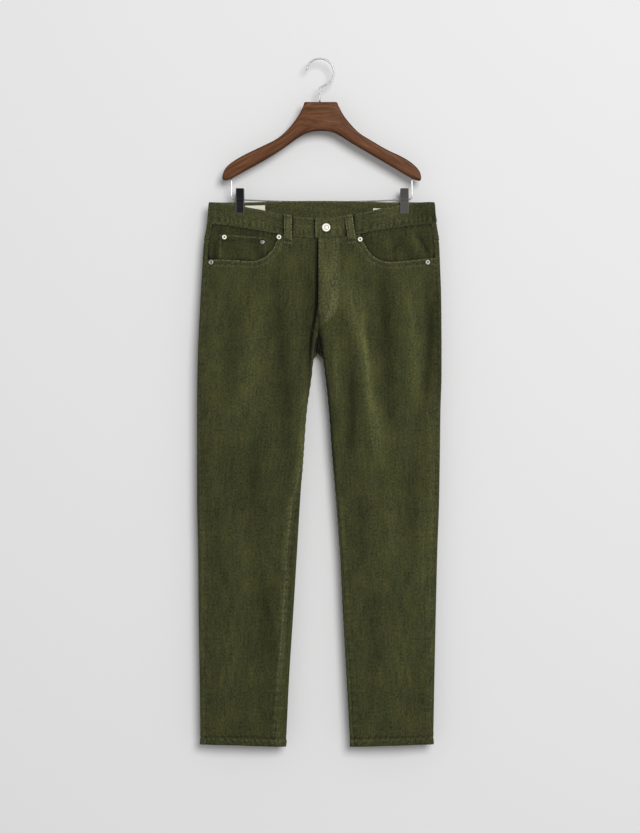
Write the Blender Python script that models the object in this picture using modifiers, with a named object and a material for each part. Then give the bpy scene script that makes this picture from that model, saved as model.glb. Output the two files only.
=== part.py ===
"""Five-pocket corduroy trousers, clipped by the waistband to a wooden hanger.

Blender 4.5, metres, +Z up. The front of the garment faces -Y and the wearer's right leg is at -X.
The origin is the hook's seat: the underside of the top of the hook, where a rail or a nail carries it.

The garment is one form, cloth_form(): a ring round each leg at every level, worked out from the table
SECTIONS. Above the crotch the two rings run past the centre plane, and the panels stop at it, so the
legs grow into one waist. Every panel is a grid on the outer face of that form, with its wall inwards.
"""

import math

import bmesh
import bpy
import numpy as np
from mathutils import Vector

MM = 0.001

# Cloth thicknesses
WALL = 1.5 * MM  # one layer of corduroy
BAND_WALL = 2.6 * MM  # the waistband, folded double
TRIM_WALL = 1.2 * MM  # pockets and facings
LABEL_WALL = 0.4 * MM
GAP = 0.3 * MM  # between pieces that lie on each other
SEAM_GAP = 0.5 * MM  # between pieces sewn edge to edge
YOKE_GAP = 0.7 * MM  # the same, down from a yoke to the back panel
LOOSE_GAP = 0.6 * MM  # between pieces that lie on each other where the cloth curves

# The form
CENTRE_X = -3 * MM  # centre front and centre back seams
CLOTH_Y = -3 * MM  # mid plane of the cloth; the hanger's is at 0
CLIP_X = (-156.8 * MM, 165.5 * MM)
CLIP_FLAT = 9 * MM  # to each side of a clip's middle its jaws hold the layers flat,
CLIP_REACH = 25 * MM  # and this far beyond they still press them together
CLIP_HALF = 3.75 * MM  # half the pressed thickness, before the band's own rounding
FLANK_START = 95 * MM  # inside this the belly and seat depths hold,
FLANK_END = 170 * MM  # and outside this the flank depth
DIP_REACH = 225 * MM  # from the centre to where the front's dip has run out
OUTSEAM_IN = 13 * MM  # the outseam lies this far inside the outer fold, on the front
TURN_WEIGHT = 38 * MM  # a radian of turn counts as this much cloth when columns are spaced

# One row for each level, in mm, from the waistband's top edge to the hem.
# level: height at the outer fold. front, back: heights of the same ring at the centre, front and back.
# r_out, r_in, l_in, l_out: the outer and inner folds of the wearer's right and left leg. Above the
# crotch (level -551) r_in and l_in lie past the centre plane.
# belly, seat, flank: how far the cloth stands off its mid plane in front, behind and at the sides.
# grip: how much of the clips' pressure is left. square: 2 is an ellipse, 3 is nearly a rectangle.
# r_seam, l_seam: how far the inseam lies inside the inner fold, on the front.
SECTION_COLUMNS = (
    "level", "front", "back", "r_out", "r_in", "l_in", "l_out",
    "belly", "seat", "flank", "grip", "square", "r_seam", "l_seam",
)
SECTIONS = (
    (-281, -314, -278.5, -218.5, 212.5, -231.5, 225.5, 22, 1.2, 9, 1.0, 3.0, 0, 0),
    (-323, -352, -319, -221.8, 215.8, -234.7, 228.7, 27, 7, 11, 0.8, 2.9, 0, 0),
    (-345, -369, -343, -225.3, 219.3, -237.9, 231.9, 29, 13, 14, 0.5, 2.7, 0, 0),
    (-372, -390.5, -373.5, -228.5, 222.5, -240.1, 234.1, 30.5, 18.5, 18, 0.25, 2.6, 0, 0),
    (-410, -420.5, -415.5, -230.8, 224.8, -241.6, 235.6, 30.5, 23, 21, 0.08, 2.5, 0, 0),
    (-455, -456, -465.5, -233.5, 204, -219, 237.3, 30, 26, 23.5, 0, 2.5, 0, 0),
    (-500, -491, -515.5, -236, 113.5, -123.5, 238, 28.5, 27.5, 25, 0, 2.4, 0, 0),
    (-532, -516.5, -551, -237.5, 32, -39, 238.2, 27, 27.5, 25.5, 0, 2.4, 0, 0),
    (-551, -531, -572, -238.5, -3, -3, 238.4, 26, 27, 25.5, 0, 2.4, 0, 0),
    (-575, -557, -590, -239.4, -11, 2.8, 238.4, 25.5, 26, 25, 0, 2.4, -2, -2),
    (-620, -610, -628, -240.3, -15.3, 9.5, 238.3, 25, 25, 25, 0, 2.4, -3, -3),
    (-690, -686, -694, -241, -25.4, 17.4, 236.2, 23, 23, 23, 0, 2.3, -2, -2),
    (-770, -770, -770, -241, -32, 23.4, 235.2, 20, 20, 20, 0, 2.3, 1, 0),
    (-820, -820, -820, -241, -35.8, 28, 234.4, 18, 18, 18, 0, 2.3, 9, 2.5),
    (-870, -870, -870, -240.9, -39.2, 32.2, 233.4, 16, 16, 16, 0, 2.3, 17, 5),
    (-970, -970, -970, -239, -45.2, 39.7, 229.8, 14, 14, 14, 0, 2.3, 21, 6),
    (-1090, -1090, -1090, -237.8, -52.6, 45.6, 227, 12.5, 12.5, 12.5, 0, 2.3, 20.5, 8),
    (-1215, -1216, -1216, -235.9, -60.6, 52.2, 224.3, 11, 11, 11, 0, 2.3, 22, 9),
    (-1342, -1347.5, -1347.5, -234.4, -66.8, 59.2, 221.9, 10, 10, 10, 0, 2.4, 25.5, 10),
)
BAND_TOP = -281 * MM
WAIST_SEAM = -323 * MM
HEM = -1342 * MM

# Yokes: heights of the lower edge's level at the outseam and at centre back
YOKE_SIDE = -352 * MM
YOKE_CENTRE = -388 * MM

# Pocket mouths, mm: the scoop from the waist seam down to the outseam, for each side
MOUTH_COLUMNS = ("x_right", "z_right", "x_left", "z_left")
MOUTHS = (
    (-79, -330, 78.5, -330),
    (-79.6, -352, 79, -354.5),
    (-85.5, -362, 85.6, -363),
    (-92.3, -375.9, 92.5, -375.9),
    (-106.4, -390, 102.5, -387.3),
    (-123.9, -397, 115, -395.3),
    (-141.3, -397.7, 128.8, -399),
    (-169.3, -395.5, 146.2, -399),
    (-200.9, -394.4, 183.8, -395.3),
    (-245, -394.2, 250, -388),
)

# Patches, mm: where on the form each flat piece lies: its sides in x, then its top and bottom levels
FACINGS = {"right": (-209, -58, -323.4, -425), "left": (58, 215, -323.4, -425)}
COIN_POCKET = (-196.5, -105.5, -340, -410)
BACK_POCKETS = {"right": (-172, -42, -408, -550), "left": (36, 166, -408, -550)}
LABELS = {"right": (-147, -107.6, -287, -316), "left": (104, 146, -293, -316)}
FACING_SINK = 55 * MM  # the way down from the waist seam over which a facing sinks under the panel
MOUTH_END = 84 * MM  # x inside which the front panel covers the facing up to the waist seam
BACK_POCKET_POINT = 18 * MM  # how far its lower edge comes down in the middle

# Belt loops, mm: the cloth it lies on, x of its middle at the top and at the bottom, level of its top
LOOP_WIDTH = 14 * MM
LOOP_BOTTOM = -345 * MM
LOOP_RISE = 1.2 * MM  # how far the middle of a loop stands off the band
LOOPS = {
    "belt_loop_front_right": ("front", -62.6, -62.6, -280.2),
    "belt_loop_front_left": ("front", 55.5, 63, -280.2),
    "belt_loop_side_right": ("back", -187, -187, -282),
    "belt_loop_side_left": ("back", 196, 196, -282),
    "belt_loop_back": ("back", -3, -3, -284.5),
}

# Fly
LAP_X = -8.8 * MM  # the waistband's upper end
UNDERLAP_X = 32 * MM  # its lower end, beneath
SHIELD = (-12, 36, -324, -470)
ZIP = (-3, 21, -326, -455)
ZIP_TEETH = (6.2, 11.8, -338, -453)
ZIP_SLIDER = (5.2, 12.8, -328, -337)
ZIP_WALL = 0.8 * MM
ZIP_TEETH_WALL = 1.4 * MM
ZIP_SLIDER_WALL = 2.4 * MM

# Button and rivets, mm: x, z, radius, height
STUDS = {
    "waist_button": (12, -332.5, 8.8, 4.2),
    "rivet_coin_outer": (-187.2, -349.5, 5.2, 1.6),
    "rivet_coin_inner": (-112.3, -360.3, 4.8, 1.2),
    "rivet_mouth_right_inner": (-80, -351, 5.2, 1.6),
    "rivet_mouth_right_outer": (-213, -398.7, 4.9, 1.6),
    "rivet_mouth_left_inner": (78, -355.5, 5.2, 1.6),
    "rivet_mouth_left_outer": (210.5, -399, 4.9, 1.6),
}

# Their profiles from the top's middle out and down, as shares of radius and height
BUTTON_PROFILE = (
    (0, 1), (0.55, 0.98), (0.9, 0.86), (1, 0.7), (1, 0.55), (0.42, 0.45), (0.42, 0), (0, 0),
)
RIVET_PROFILE = (
    (0, 0.75), (0.34, 0.75), (0.42, 1), (0.7, 1), (0.93, 0.7), (1, 0.3), (1, 0), (0, 0),
)

# Hanger, mm. The outline runs clockwise from the neck's left corner.
WOOD_HALF = 7 * MM
WOOD_ROUND = 2.5 * MM
WOOD_OUTLINE = (
    (-30.4, -83.9), (33.5, -83.9), (42.3, -104.5), (54.7, -121.9), (75.7, -144.6), (96.6, -157),
    (131.5, -178), (163.1, -191.8), (184, -206), (196.4, -219.9), (198.9, -234), (196.4, -239.3),
    (180.5, -234), (145.6, -213), (103.7, -188.5), (61.5, -164), (40.6, -149.9), (23.1, -141.3),
    (2.2, -139.6), (-15.5, -141.3), (-36.5, -148.2), (-78.4, -179.7), (-116.8, -202.5),
    (-159, -225.2), (-176.4, -235.8), (-190.3, -238.1), (-192.1, -230.5), (-187, -214.8),
    (-176.4, -204.2), (-151.9, -188.6), (-106.4, -167.4), (-81.9, -155.2), (-64.5, -139.6),
    (-46.8, -118.4), (-34.7, -97.4),
)
HOOK_RADIUS = 27.2 * MM
HOOK_WIRE = 1.65 * MM
HOOK_TIP_DEG = 170
HOOK_START_DEG = -58
STEM_X = -0.4 * MM
STEM_TOP = -58 * MM
WOOD_TOP = -83.9 * MM
BAR_WIRE = 1.4 * MM
BAR_ENDS = (-173.5 * MM, 180.3 * MM)
BAR_LEVEL = -274.6 * MM
BAR_SAG = 4.9 * MM
BAR_TOPS = (-234.55 * MM, -233.95 * MM)
BAR_BEND = 7 * MM

# Clips, mm: a jaw's path down its inner face: z, then y of the front jaw and of the back jaw
JAW_PATH = (
    (-254, -9, 9),
    (-270, -4.9, 4.9),
    (-276, -4.9, 4.9),
    (-280, -7, 3.4),
    (-290, -7.1, 1.2),
    (-302.6, -7.1, 1.2),
)
JAW_WIDTH = 15.6 * MM
JAW_WALL = 1.2 * MM
SPRING_INNER = 1.75 * MM
SPRING_OUTER = 4.5 * MM
SPRING_WIDTH = 11 * MM

COLOURS = {
    "corduroy": ((0.052, 0.056, 0.021), 0.9, 0.0),
    "metal": ((0.72, 0.71, 0.68), 0.3, 1.0),
    "label": ((0.82, 0.81, 0.68), 0.7, 0.0),
    "wood": ((0.15, 0.065, 0.035), 0.45, 0.0),
    "clip": ((0.05, 0.05, 0.055), 0.3, 1.0),
    "tape": ((0.03, 0.033, 0.015), 0.85, 0.0),
    "brass": ((0.36, 0.25, 0.12), 0.4, 1.0),
}


# Scene and materials


def clear_scene():
    for obj in list(bpy.data.objects):
        bpy.data.objects.remove(obj, do_unlink=True)


def new_collection(name):
    collection = bpy.data.collections.new(name)
    bpy.context.scene.collection.children.link(collection)
    return collection


def make_materials():
    made = {}
    for name, (colour, roughness, metallic) in COLOURS.items():
        material = bpy.data.materials.new(name)
        material.use_nodes = True
        shader = material.node_tree.nodes["Principled BSDF"]
        shader.inputs["Base Color"].default_value = (*colour, 1)
        shader.inputs["Roughness"].default_value = roughness
        shader.inputs["Metallic"].default_value = metallic
        made[name] = material
    return made


def add_object(name, data, collection, material=None):
    obj = bpy.data.objects.new(name, data)
    collection.objects.link(obj)
    if material:
        data.materials.append(material)
    return obj


def add_wall(obj, thickness):
    """Gives an open surface its wall, behind the surface."""
    solidify = obj.modifiers.new("wall", "SOLIDIFY")
    solidify.thickness = thickness
    solidify.offset = -1


# The form of the garment


def section_table():
    columns = np.array(SECTIONS, float).T
    scaled = {name: column * MM for name, column in zip(SECTION_COLUMNS, columns)}
    for plain in ("grip", "square"):
        scaled[plain] = scaled[plain] / MM
    return scaled


SECTION = section_table()


def smooth_column(name, level):
    """A column of SECTIONS read at any level: a cubic through the rows that never overshoots them."""
    at = -SECTION["level"]
    values = SECTION[name]
    step = np.diff(at)
    slope = np.diff(values) / step
    before, after = slope[:-1], slope[1:]
    same_way = before * after > 0
    total = np.where(same_way, before + after, 1)
    tangent = np.concatenate(
        [slope[:1], np.where(same_way, 2 * before * after / total, 0), slope[-1:]]
    )
    where = -np.asarray(level, float)
    i = np.clip(np.searchsorted(at, where, side="right") - 1, 0, len(step) - 1)
    t = (where - at[i]) / step[i]
    start = (1 + 2 * t) * (1 - t) ** 2 * values[i] + t * (1 - t) ** 2 * step[i] * tangent[i]
    end = t * t * (3 - 2 * t) * values[i + 1] + t * t * (t - 1) * step[i] * tangent[i + 1]
    return start + end


def smooth_step(low, high, value):
    t = np.clip((value - low) / (high - low), 0, 1)
    return t * t * (3 - 2 * t)


def folds_of(leg, level):
    """x of the leg's outer and inner fold."""
    side = leg[0]
    return smooth_column(side + "_out", level), smooth_column(side + "_in", level)


def place(x, bulge, level):
    """Points on the ring at a level: bulge runs from -1 on the front through 0 at a fold to 1 behind."""
    flank = smooth_column("flank", level)
    middle = np.where(bulge < 0, smooth_column("belly", level), smooth_column("seat", level))
    inward = 1 - smooth_step(FLANK_START, FLANK_END, np.abs(x - CENTRE_X))
    stand = flank + (middle - flank) * inward
    away = np.minimum(np.abs(x - CLIP_X[0]), np.abs(x - CLIP_X[1]))
    near = np.exp(-((np.maximum(away - CLIP_FLAT, 0) / CLIP_REACH) ** 2))
    grip = smooth_column("grip", level) * near
    y = CLOTH_Y + bulge * (stand * (1 - grip) + CLIP_HALF * grip)
    behind = ((1 + bulge) / 2) ** 2
    centre = smooth_column("front", level) * (1 - behind) + smooth_column("back", level) * behind
    central = 0.5 + 0.5 * np.cos(math.pi * np.clip(np.abs(x - CENTRE_X) / DIP_REACH, 0, 1))
    z = level + (centre - level) * central
    return np.stack(np.broadcast_arrays(x, y, z), axis=-1)


def cloth_form(leg, level, turn):
    """Points on the outer face. turn is 0 at the outer fold, pi at the inner one, positive over the
    front and negative over the back; each ring is a superellipse read by its polar angle."""
    outer, inner = folds_of(leg, level)
    square = smooth_column("square", level)
    reach = (np.abs(np.cos(turn)) ** square + np.abs(np.sin(turn)) ** square) ** (1 / square)
    x = (outer + inner) / 2 + (outer - inner) / 2 * np.cos(turn) / reach
    return place(x, -np.sin(turn) / reach, level)


def inside_face(leg, level, turn, wall):
    """The points of cloth_form() moved in along the form's own normal, so that panels sewn edge to
    edge keep their gap right through the wall."""
    step = 0.002
    here = cloth_form(leg, level, turn)
    around = cloth_form(leg, level, turn + step) - cloth_form(leg, level, turn - step)
    upward = cloth_form(leg, level + MM, turn) - cloth_form(leg, level - MM, turn)
    normal = np.cross(around, upward)
    normal /= np.linalg.norm(normal, axis=-1, keepdims=True)
    outwards = 1 if leg == "right" else -1
    return here - normal * outwards * wall


def on_cloth(leg, side, x, level):
    """Points on the form's outer face at x on a level. side is front or back."""
    outer, inner = folds_of(leg, level)
    square = smooth_column("square", level)
    across = np.clip(np.abs((x - (outer + inner) / 2) / ((outer - inner) / 2)), 0, 1)
    bulge = (1 - across**square) ** (1 / square) * (-1 if side == "front" else 1)
    return place(x, bulge, level)


def lifted(leg, side, x, level, lift):
    """on_cloth() moved out along the cloth's normal by lift."""
    step = 1 * MM
    here = on_cloth(leg, side, x, level)
    beside = on_cloth(leg, side, x + step, level)
    above = on_cloth(leg, side, x, level + step)
    normal = np.cross(beside - here, above - here)
    normal /= np.linalg.norm(normal, axis=-1, keepdims=True)
    if side == "back":
        normal = -normal
    return here + normal * np.asarray(lift)[..., None]


def level_at(leg, side, x, z):
    """The level whose ring passes through height z at x."""
    level = z
    for _ in range(30):
        level = level + z - on_cloth(leg, side, np.float64(x), np.float64(level))[2]
    return level


# Panels: grids in (level, turn)


def seam_turns(leg, level):
    """Where one ring is cut: turns of the outseam, of the front panel's inner edge and of the back
    panel's, each panel half a seam gap short."""
    turn = np.linspace(0, 1.35 * math.pi, 1400)
    points = cloth_form(leg, level, turn)
    run = np.concatenate([[0], np.cumsum(np.linalg.norm(np.diff(points[:, :2], axis=0), axis=1))])
    fold = np.interp(math.pi, turn, run)
    inseam = smooth_column(leg[0] + "_seam", level)
    outseam = np.interp([OUTSEAM_IN, OUTSEAM_IN - SEAM_GAP], run, turn)
    ends = np.interp([fold - inseam, fold - inseam + SEAM_GAP], run, turn)
    clear = np.abs(points[:, 0] - CENTRE_X) * np.sign((points[:, 0] - CENTRE_X) * points[0, 0])
    first_half = turn <= math.pi
    at_plane = np.interp(-SEAM_GAP / 2, -clear[first_half], turn[first_half])
    crosses = clear[first_half].min() < SEAM_GAP / 2
    front_end = min(ends[0], at_plane) if crosses else ends[0]
    back_end = max(-at_plane, ends[1] - 2 * math.pi) if crosses else ends[1] - 2 * math.pi
    return outseam[0], front_end, outseam[1], back_end


def spaced_turns(leg, level, start, end, columns):
    """Turns from start to end, spaced evenly by length of cloth plus a share for how fast it bends."""
    turn = np.linspace(start, end, 500)
    points = cloth_form(leg, level, turn)[:, :2]
    step = np.diff(points, axis=0)
    length = np.linalg.norm(step, axis=1)
    heading = np.unwrap(np.arctan2(step[:, 1], step[:, 0]))
    bend = np.abs(np.gradient(heading))
    run = np.concatenate([[0], np.cumsum(length + TURN_WEIGHT * bend)])
    return np.interp(np.linspace(0, run[-1], columns + 1), run, turn)


def turn_map(leg, part, columns):
    """Turns of a panel's columns on a fine ladder of levels."""
    ladder = np.linspace(WAIST_SEAM + 3 * MM, HEM, 420)
    rows = []
    for level in ladder:
        front_start, front_end, back_start, back_end = seam_turns(leg, level)
        start, end = (front_start, front_end) if part == "front" else (back_start, back_end)
        rows.append(spaced_turns(leg, level, start, end, columns))
    return ladder, np.array(rows)


def panel_faces(leg, ladder, turns, levels):
    """Outer and inner points of a panel whose vertices lie on the given levels."""
    columns = levels.shape[1]
    turn = np.stack(
        [np.interp(-levels[:, j], -ladder, turns[:, j]) for j in range(columns)], axis=1
    )
    return cloth_form(leg, levels, turn), inside_face(leg, levels, turn, WALL)


def grid_quads(rows, columns):
    """Quads on a grid of points numbered row by row."""
    index = np.arange(rows * columns).reshape(rows, columns)
    quads = np.stack([index[:-1, :-1], index[1:, :-1], index[1:, 1:], index[:-1, 1:]], axis=-1)
    return quads.reshape(-1, 4)


def add_lofted(name, outer, inner, flip, collection, material):
    """A closed wall between two grids of points, joined round the rim."""
    rows, columns = outer.shape[:2]
    count = rows * columns
    quads = grid_quads(rows, columns)
    index = np.arange(count).reshape(rows, columns)
    rim = np.concatenate([index[0, ::-1], index[1:, 0], index[-1, 1:], index[-2:0:-1, -1]])
    after = np.roll(rim, -1)
    sides = np.stack([after, rim, rim + count, after + count], axis=-1)
    faces = np.concatenate([quads, quads[:, ::-1] + count, sides])
    if flip:
        faces = faces[:, ::-1]
    mesh = bpy.data.meshes.new(name)
    points = np.concatenate([outer.reshape(-1, 3), inner.reshape(-1, 3)])
    mesh.from_pydata(points.tolist(), [], faces.tolist())
    mesh.shade_smooth()
    mesh.set_sharp_from_angle(angle=math.radians(50))
    return add_object(name, mesh, collection, material)


def add_cloth(name, points, flip, wall, collection, material):
    """An open surface on a grid of points, with its wall behind it. flip turns its faces over."""
    quads = grid_quads(*points.shape[:2])
    if flip:
        quads = quads[:, ::-1]
    mesh = bpy.data.meshes.new(name)
    mesh.from_pydata(points.reshape(-1, 3).tolist(), [], quads.tolist())
    mesh.shade_smooth()
    obj = add_object(name, mesh, collection, material)
    add_wall(obj, wall)
    return obj


def row_levels():
    """Levels of a leg panel's rows: every section below the waist seam, and midway between them."""
    sections = SECTION["level"][1:]
    between = (sections[1:] + sections[:-1]) / 2
    levels = np.sort(np.concatenate([sections, between]))[::-1]
    levels[0] = WAIST_SEAM - GAP
    return levels


def build_leg_panels(leg, collection, material):
    flip = leg == "left"
    levels = row_levels()
    columns = 10
    ladder, turns = turn_map(leg, "front", columns)
    faces = panel_faces(leg, ladder, turns, np.repeat(levels[:, None], columns + 1, axis=1))
    front_panel = add_lofted(f"front_panel_{leg}", *faces, flip, collection, material)

    columns = 13
    ladder, turns = turn_map(leg, "back", columns)
    share = np.linspace(0, 1, columns + 1)
    yoke_edge = YOKE_SIDE + (YOKE_CENTRE - YOKE_SIDE) * share
    rows = np.linspace(0, 1, 4)[:, None]
    yoke_levels = (WAIST_SEAM - GAP) * (1 - rows) + yoke_edge * rows
    faces = panel_faces(leg, ladder, turns, yoke_levels)
    add_lofted(f"back_yoke_{leg}", *faces, not flip, collection, material)

    first = yoke_edge - YOKE_GAP
    below = levels[levels < YOKE_CENTRE - 8 * MM]
    plain_rows = np.repeat(below[:, None], columns + 1, axis=1)
    back_levels = np.vstack([first, (first + below[0]) / 2, plain_rows])
    faces = panel_faces(leg, ladder, turns, back_levels)
    add_lofted(f"back_panel_{leg}", *faces, not flip, collection, material)
    return front_panel


def cut_pocket_mouth(panel, leg, parts, cutters):
    """Cuts the scooped mouth out of the front panel with an outline extruded along Y."""
    column = MOUTH_COLUMNS.index("x_" + leg)
    outline = [(row[column] * MM, row[column + 1] * MM) for row in MOUTHS]
    far = outline[-1][0]
    outline += [(far, WAIST_SEAM + 20 * MM), (outline[0][0], WAIST_SEAM + 20 * MM)]
    mesh = bpy.data.meshes.new("mouth_cutter_" + leg)
    shape = bmesh.new()
    front_y, back_y = CLOTH_Y - 60 * MM, CLOTH_Y + 60 * MM
    base = shape.faces.new([shape.verts.new((x, front_y, z)) for x, z in outline])
    pushed = bmesh.ops.extrude_face_region(shape, geom=[base])
    moved = [v for v in pushed["geom"] if isinstance(v, bmesh.types.BMVert)]
    bmesh.ops.translate(shape, verts=moved, vec=(0, back_y - front_y, 0))
    bmesh.ops.recalc_face_normals(shape, faces=shape.faces)
    shape.to_mesh(mesh)
    shape.free()
    cutter = add_object("mouth_cutter_" + leg, mesh, cutters)
    cutter.hide_render = True
    cutter.display_type = "WIRE"
    cut = panel.modifiers.new("pocket mouth", "BOOLEAN")
    cut.object = cutter
    cut.solver = "EXACT"


# Waistband


def build_waistband(collection, material):
    """One strip from its lower end at centre front, round the wearer's right side and the back to its
    upper end. The lower end lies one wall deeper, under the lap."""
    band_levels = np.linspace(BAND_TOP, WAIST_SEAM + GAP, 4)
    ladder = []
    for level in band_levels:
        right = band_turns("right", level, UNDERLAP_X, 30)
        left = band_turns("left", level, LAP_X, 30)[::-1]
        ladder.append((right, left))
    right = cloth_form("right", band_levels[:, None], np.array([row[0] for row in ladder]))
    left = cloth_form("left", band_levels[:, None], np.array([row[1] for row in ladder]))
    front_part = np.arange(right.shape[1]) < 15
    under = smooth_step(-32 * MM, -13 * MM, right[..., 0]) * front_part
    right[..., 1] += (BAND_WALL + GAP) * under
    points = np.concatenate([right, left[:, 1:]], axis=1)
    return add_cloth("waistband", points, True, BAND_WALL, collection, material)


def band_turns(leg, level, front_x, columns):
    """Turns from x = front_x on the front, over the outer fold, to centre back."""
    turn = np.linspace(0, math.pi, 900)
    x = cloth_form(leg, level, turn)[:, 0]
    order = 1 if leg == "right" else -1
    front = np.interp(order * front_x, order * x, turn)
    centre = np.interp(order * CENTRE_X, order * x, turn)
    return spaced_turns(leg, level, front, -centre, columns)


# Pieces that lie on the form


def patch_net(patch, rows, columns):
    """x and level of a patch's points."""
    x0, x1, top, bottom = (value * MM for value in patch)
    x = np.linspace(x0, x1, columns + 1)[None, :]
    level = np.linspace(top, bottom, rows + 1)[:, None]
    return np.broadcast_arrays(x, level)


def patch_points(leg, side, patch, lift, rows, columns):
    """A patch of even lift."""
    x, level = patch_net(patch, rows, columns)
    return lifted(leg, side, x, level, np.full(x.shape, lift))


def facing_net(leg):
    """x and level of a facing's points. The coin pocket takes its own points from the right one's: rows
    1 to 6 and columns 1 to 7; the left facing repeats them the other way round."""
    x0, x1, top, bottom = FACINGS[leg]
    coin_x0, coin_x1, coin_top, coin_bottom = COIN_POCKET
    if leg == "left":
        coin_x0, coin_x1 = -coin_x1, -coin_x0
    x = np.concatenate([[x0], np.linspace(coin_x0, coin_x1, 7), [(coin_x1 + x1) / 2, x1]])
    if leg == "left":
        x = np.concatenate([[x0, (x0 + coin_x0) / 2], np.linspace(coin_x0, coin_x1, 7), [x1]])
    level = np.concatenate([[top], np.linspace(coin_top, coin_bottom, 6), [bottom]])
    return np.broadcast_arrays(x[None, :] * MM, level[:, None] * MM)


def facing_lift(x, level):
    """A facing leaves the waist seam nearly flush and sinks under the mouth's edge."""
    down = 1 - smooth_step(WAIST_SEAM - FACING_SINK, WAIST_SEAM, level)
    inwards = 1 - smooth_step(MOUTH_END, MOUTH_END + FACING_SINK / 2, np.abs(x))
    deepest = WALL + 2 * LOOSE_GAP + TRIM_WALL
    return -(GAP + (deepest - GAP) * np.maximum(down, inwards))


def build_pockets(collection, material):
    for leg in FACINGS:
        x, level = facing_net(leg)
        lift = facing_lift(x, level)
        points = lifted(leg, "front", x, level, lift)
        add_cloth(f"pocket_facing_{leg}", points, False, TRIM_WALL, collection, material)
        if leg == "right":
            points = lifted(leg, "front", x, level, lift + GAP + TRIM_WALL)[1:-1, 1:8]
            add_cloth("coin_pocket", points, False, TRIM_WALL, collection, material)
    for leg, patch in BACK_POCKETS.items():
        build_back_pocket(leg, patch, collection, material)


def build_back_pocket(leg, patch, collection, material):
    """A patch pocket whose lower edge comes down to a blunt point in the middle."""
    x0, x1, top, bottom = (value * MM for value in patch)
    across = np.linspace(0, 1, 9)[None, :]
    down = np.linspace(0, 1, 8)[:, None]
    point = BACK_POCKET_POINT * (1 - np.abs(2 * across - 1))
    narrowing = 1 - 0.1 * down
    x = (x0 + x1) / 2 + (x1 - x0) * (across - 0.5) * narrowing
    level = top + (bottom - top + BACK_POCKET_POINT - point) * down
    points = lifted(leg, "back", x, level, np.full(x.shape, GAP + TRIM_WALL))
    add_cloth(f"back_pocket_{leg}", points, True, TRIM_WALL, collection, material)


def build_labels(collection, material):
    for leg, patch in LABELS.items():
        points = patch_points(leg, "back", patch, -(BAND_WALL + LOOSE_GAP), 2, 3)
        add_cloth(f"label_{leg}", points, True, LABEL_WALL, collection, material)


def build_loops(collection, material):
    """Each loop starts over the band's top edge, stands off it in the middle and ends on the panel."""
    down = np.linspace(0, 1, 10)[:, None]
    across = np.linspace(-0.5, 0.5, 3)[None, :]
    for name, (side, x_top, x_bottom, top) in LOOPS.items():
        middle = (x_top + (x_bottom - x_top) * down) * MM
        x = middle + LOOP_WIDTH * across
        level = np.broadcast_to(top * MM + (LOOP_BOTTOM - top * MM) * down, x.shape)
        leg = "right" if x_top < 0 else "left"
        rise = GAP + TRIM_WALL + LOOP_RISE * np.sin(math.pi * down)
        points = lifted(leg, side, x, level, np.broadcast_to(rise, x.shape))
        add_cloth(name, points, side == "back", TRIM_WALL, collection, material)


# Fly


def build_fly(collection, materials):
    """Behind the fly: the zip's tape with its closed teeth as a raised strip, its slider, and the shield."""
    on_tape = WALL + ZIP_WALL + 2 * GAP
    behind_zip = on_tape + ZIP_SLIDER_WALL + 2 * GAP
    for name, patch, depth, wall, columns, look in (
        ("zip_tape", ZIP, WALL + GAP, ZIP_WALL, 2, "tape"),
        ("zip_teeth", ZIP_TEETH, on_tape, ZIP_TEETH_WALL, 1, "brass"),
        ("zip_slider", ZIP_SLIDER, on_tape, ZIP_SLIDER_WALL, 1, "brass"),
        ("fly_shield", SHIELD, behind_zip, TRIM_WALL, 3, "corduroy"),
    ):
        points = patch_points("left", "front", patch, -depth, 7, columns)
        add_cloth(name, points, False, wall, collection, materials[look])


# Button and rivets


def turned(name, profile, steps, collection, material):
    """A solid turned about Z from (radius, height) points, listed from the top of its outer side down."""
    mesh = bpy.data.meshes.new(name)
    points = [(radius, 0, height) for radius, height in profile]
    mesh.from_pydata(points, [(i, i + 1) for i in range(len(points) - 1)], [])
    obj = add_object(name, mesh, collection, material)
    screw = obj.modifiers.new("turn", "SCREW")
    screw.steps = steps
    screw.render_steps = steps
    screw.use_merge_vertices = True
    screw.merge_threshold = 0.00001
    screw.use_smooth_shade = True
    return obj


def build_studs(collection, material):
    for name, (x, z, radius, height) in STUDS.items():
        leg = "right" if x < CENTRE_X / MM else "left"
        level = level_at(leg, "front", x * MM, z * MM)
        base = base_lift(name, x * MM, level) + GAP
        here = lifted(leg, "front", np.float64(x * MM), np.float64(level), np.float64(base))
        above = lifted(leg, "front", np.float64(x * MM), np.float64(level), np.float64(base + MM))
        shares = BUTTON_PROFILE if name == "waist_button" else RIVET_PROFILE
        profile = [(across * radius * MM, up * height * MM) for across, up in shares]
        obj = turned(name, profile, 14, collection, material)
        obj.location = Vector(here)
        out = Vector(above - here)
        obj.rotation_euler = out.to_track_quat("Z", "Y").to_euler()


def base_lift(name, x, level):
    """How far over the form the face lies that a rivet or the button sits on."""
    if name.startswith("rivet_coin"):
        return float(facing_lift(x, level)) + LOOSE_GAP + TRIM_WALL
    return 0.0


# Hanger


def round_path(corners, rounds):
    """The outline with each corner's turn eased by a quadratic curve between the edges' middles."""
    points = []
    count = len(corners)
    for i in range(count):
        here = np.array(corners[i])
        before = np.array(corners[i - 1])
        after = np.array(corners[(i + 1) % count])
        start, end = (before + here) / 2, (after + here) / 2
        for t in np.linspace(0, 1, rounds, endpoint=False):
            points.append((1 - t) ** 2 * start + 2 * t * (1 - t) * here + t * t * end)
    return points


def poly_curve(name, points, collection, material, cyclic=False):
    data = bpy.data.curves.new(name, "CURVE")
    data.dimensions = "3D"
    spline = data.splines.new("POLY")
    spline.points.add(len(points) - 1)
    for target, point in zip(spline.points, points):
        target.co = (*point, 1)
    spline.use_cyclic_u = cyclic
    return add_object(name, data, collection, material)


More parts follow.
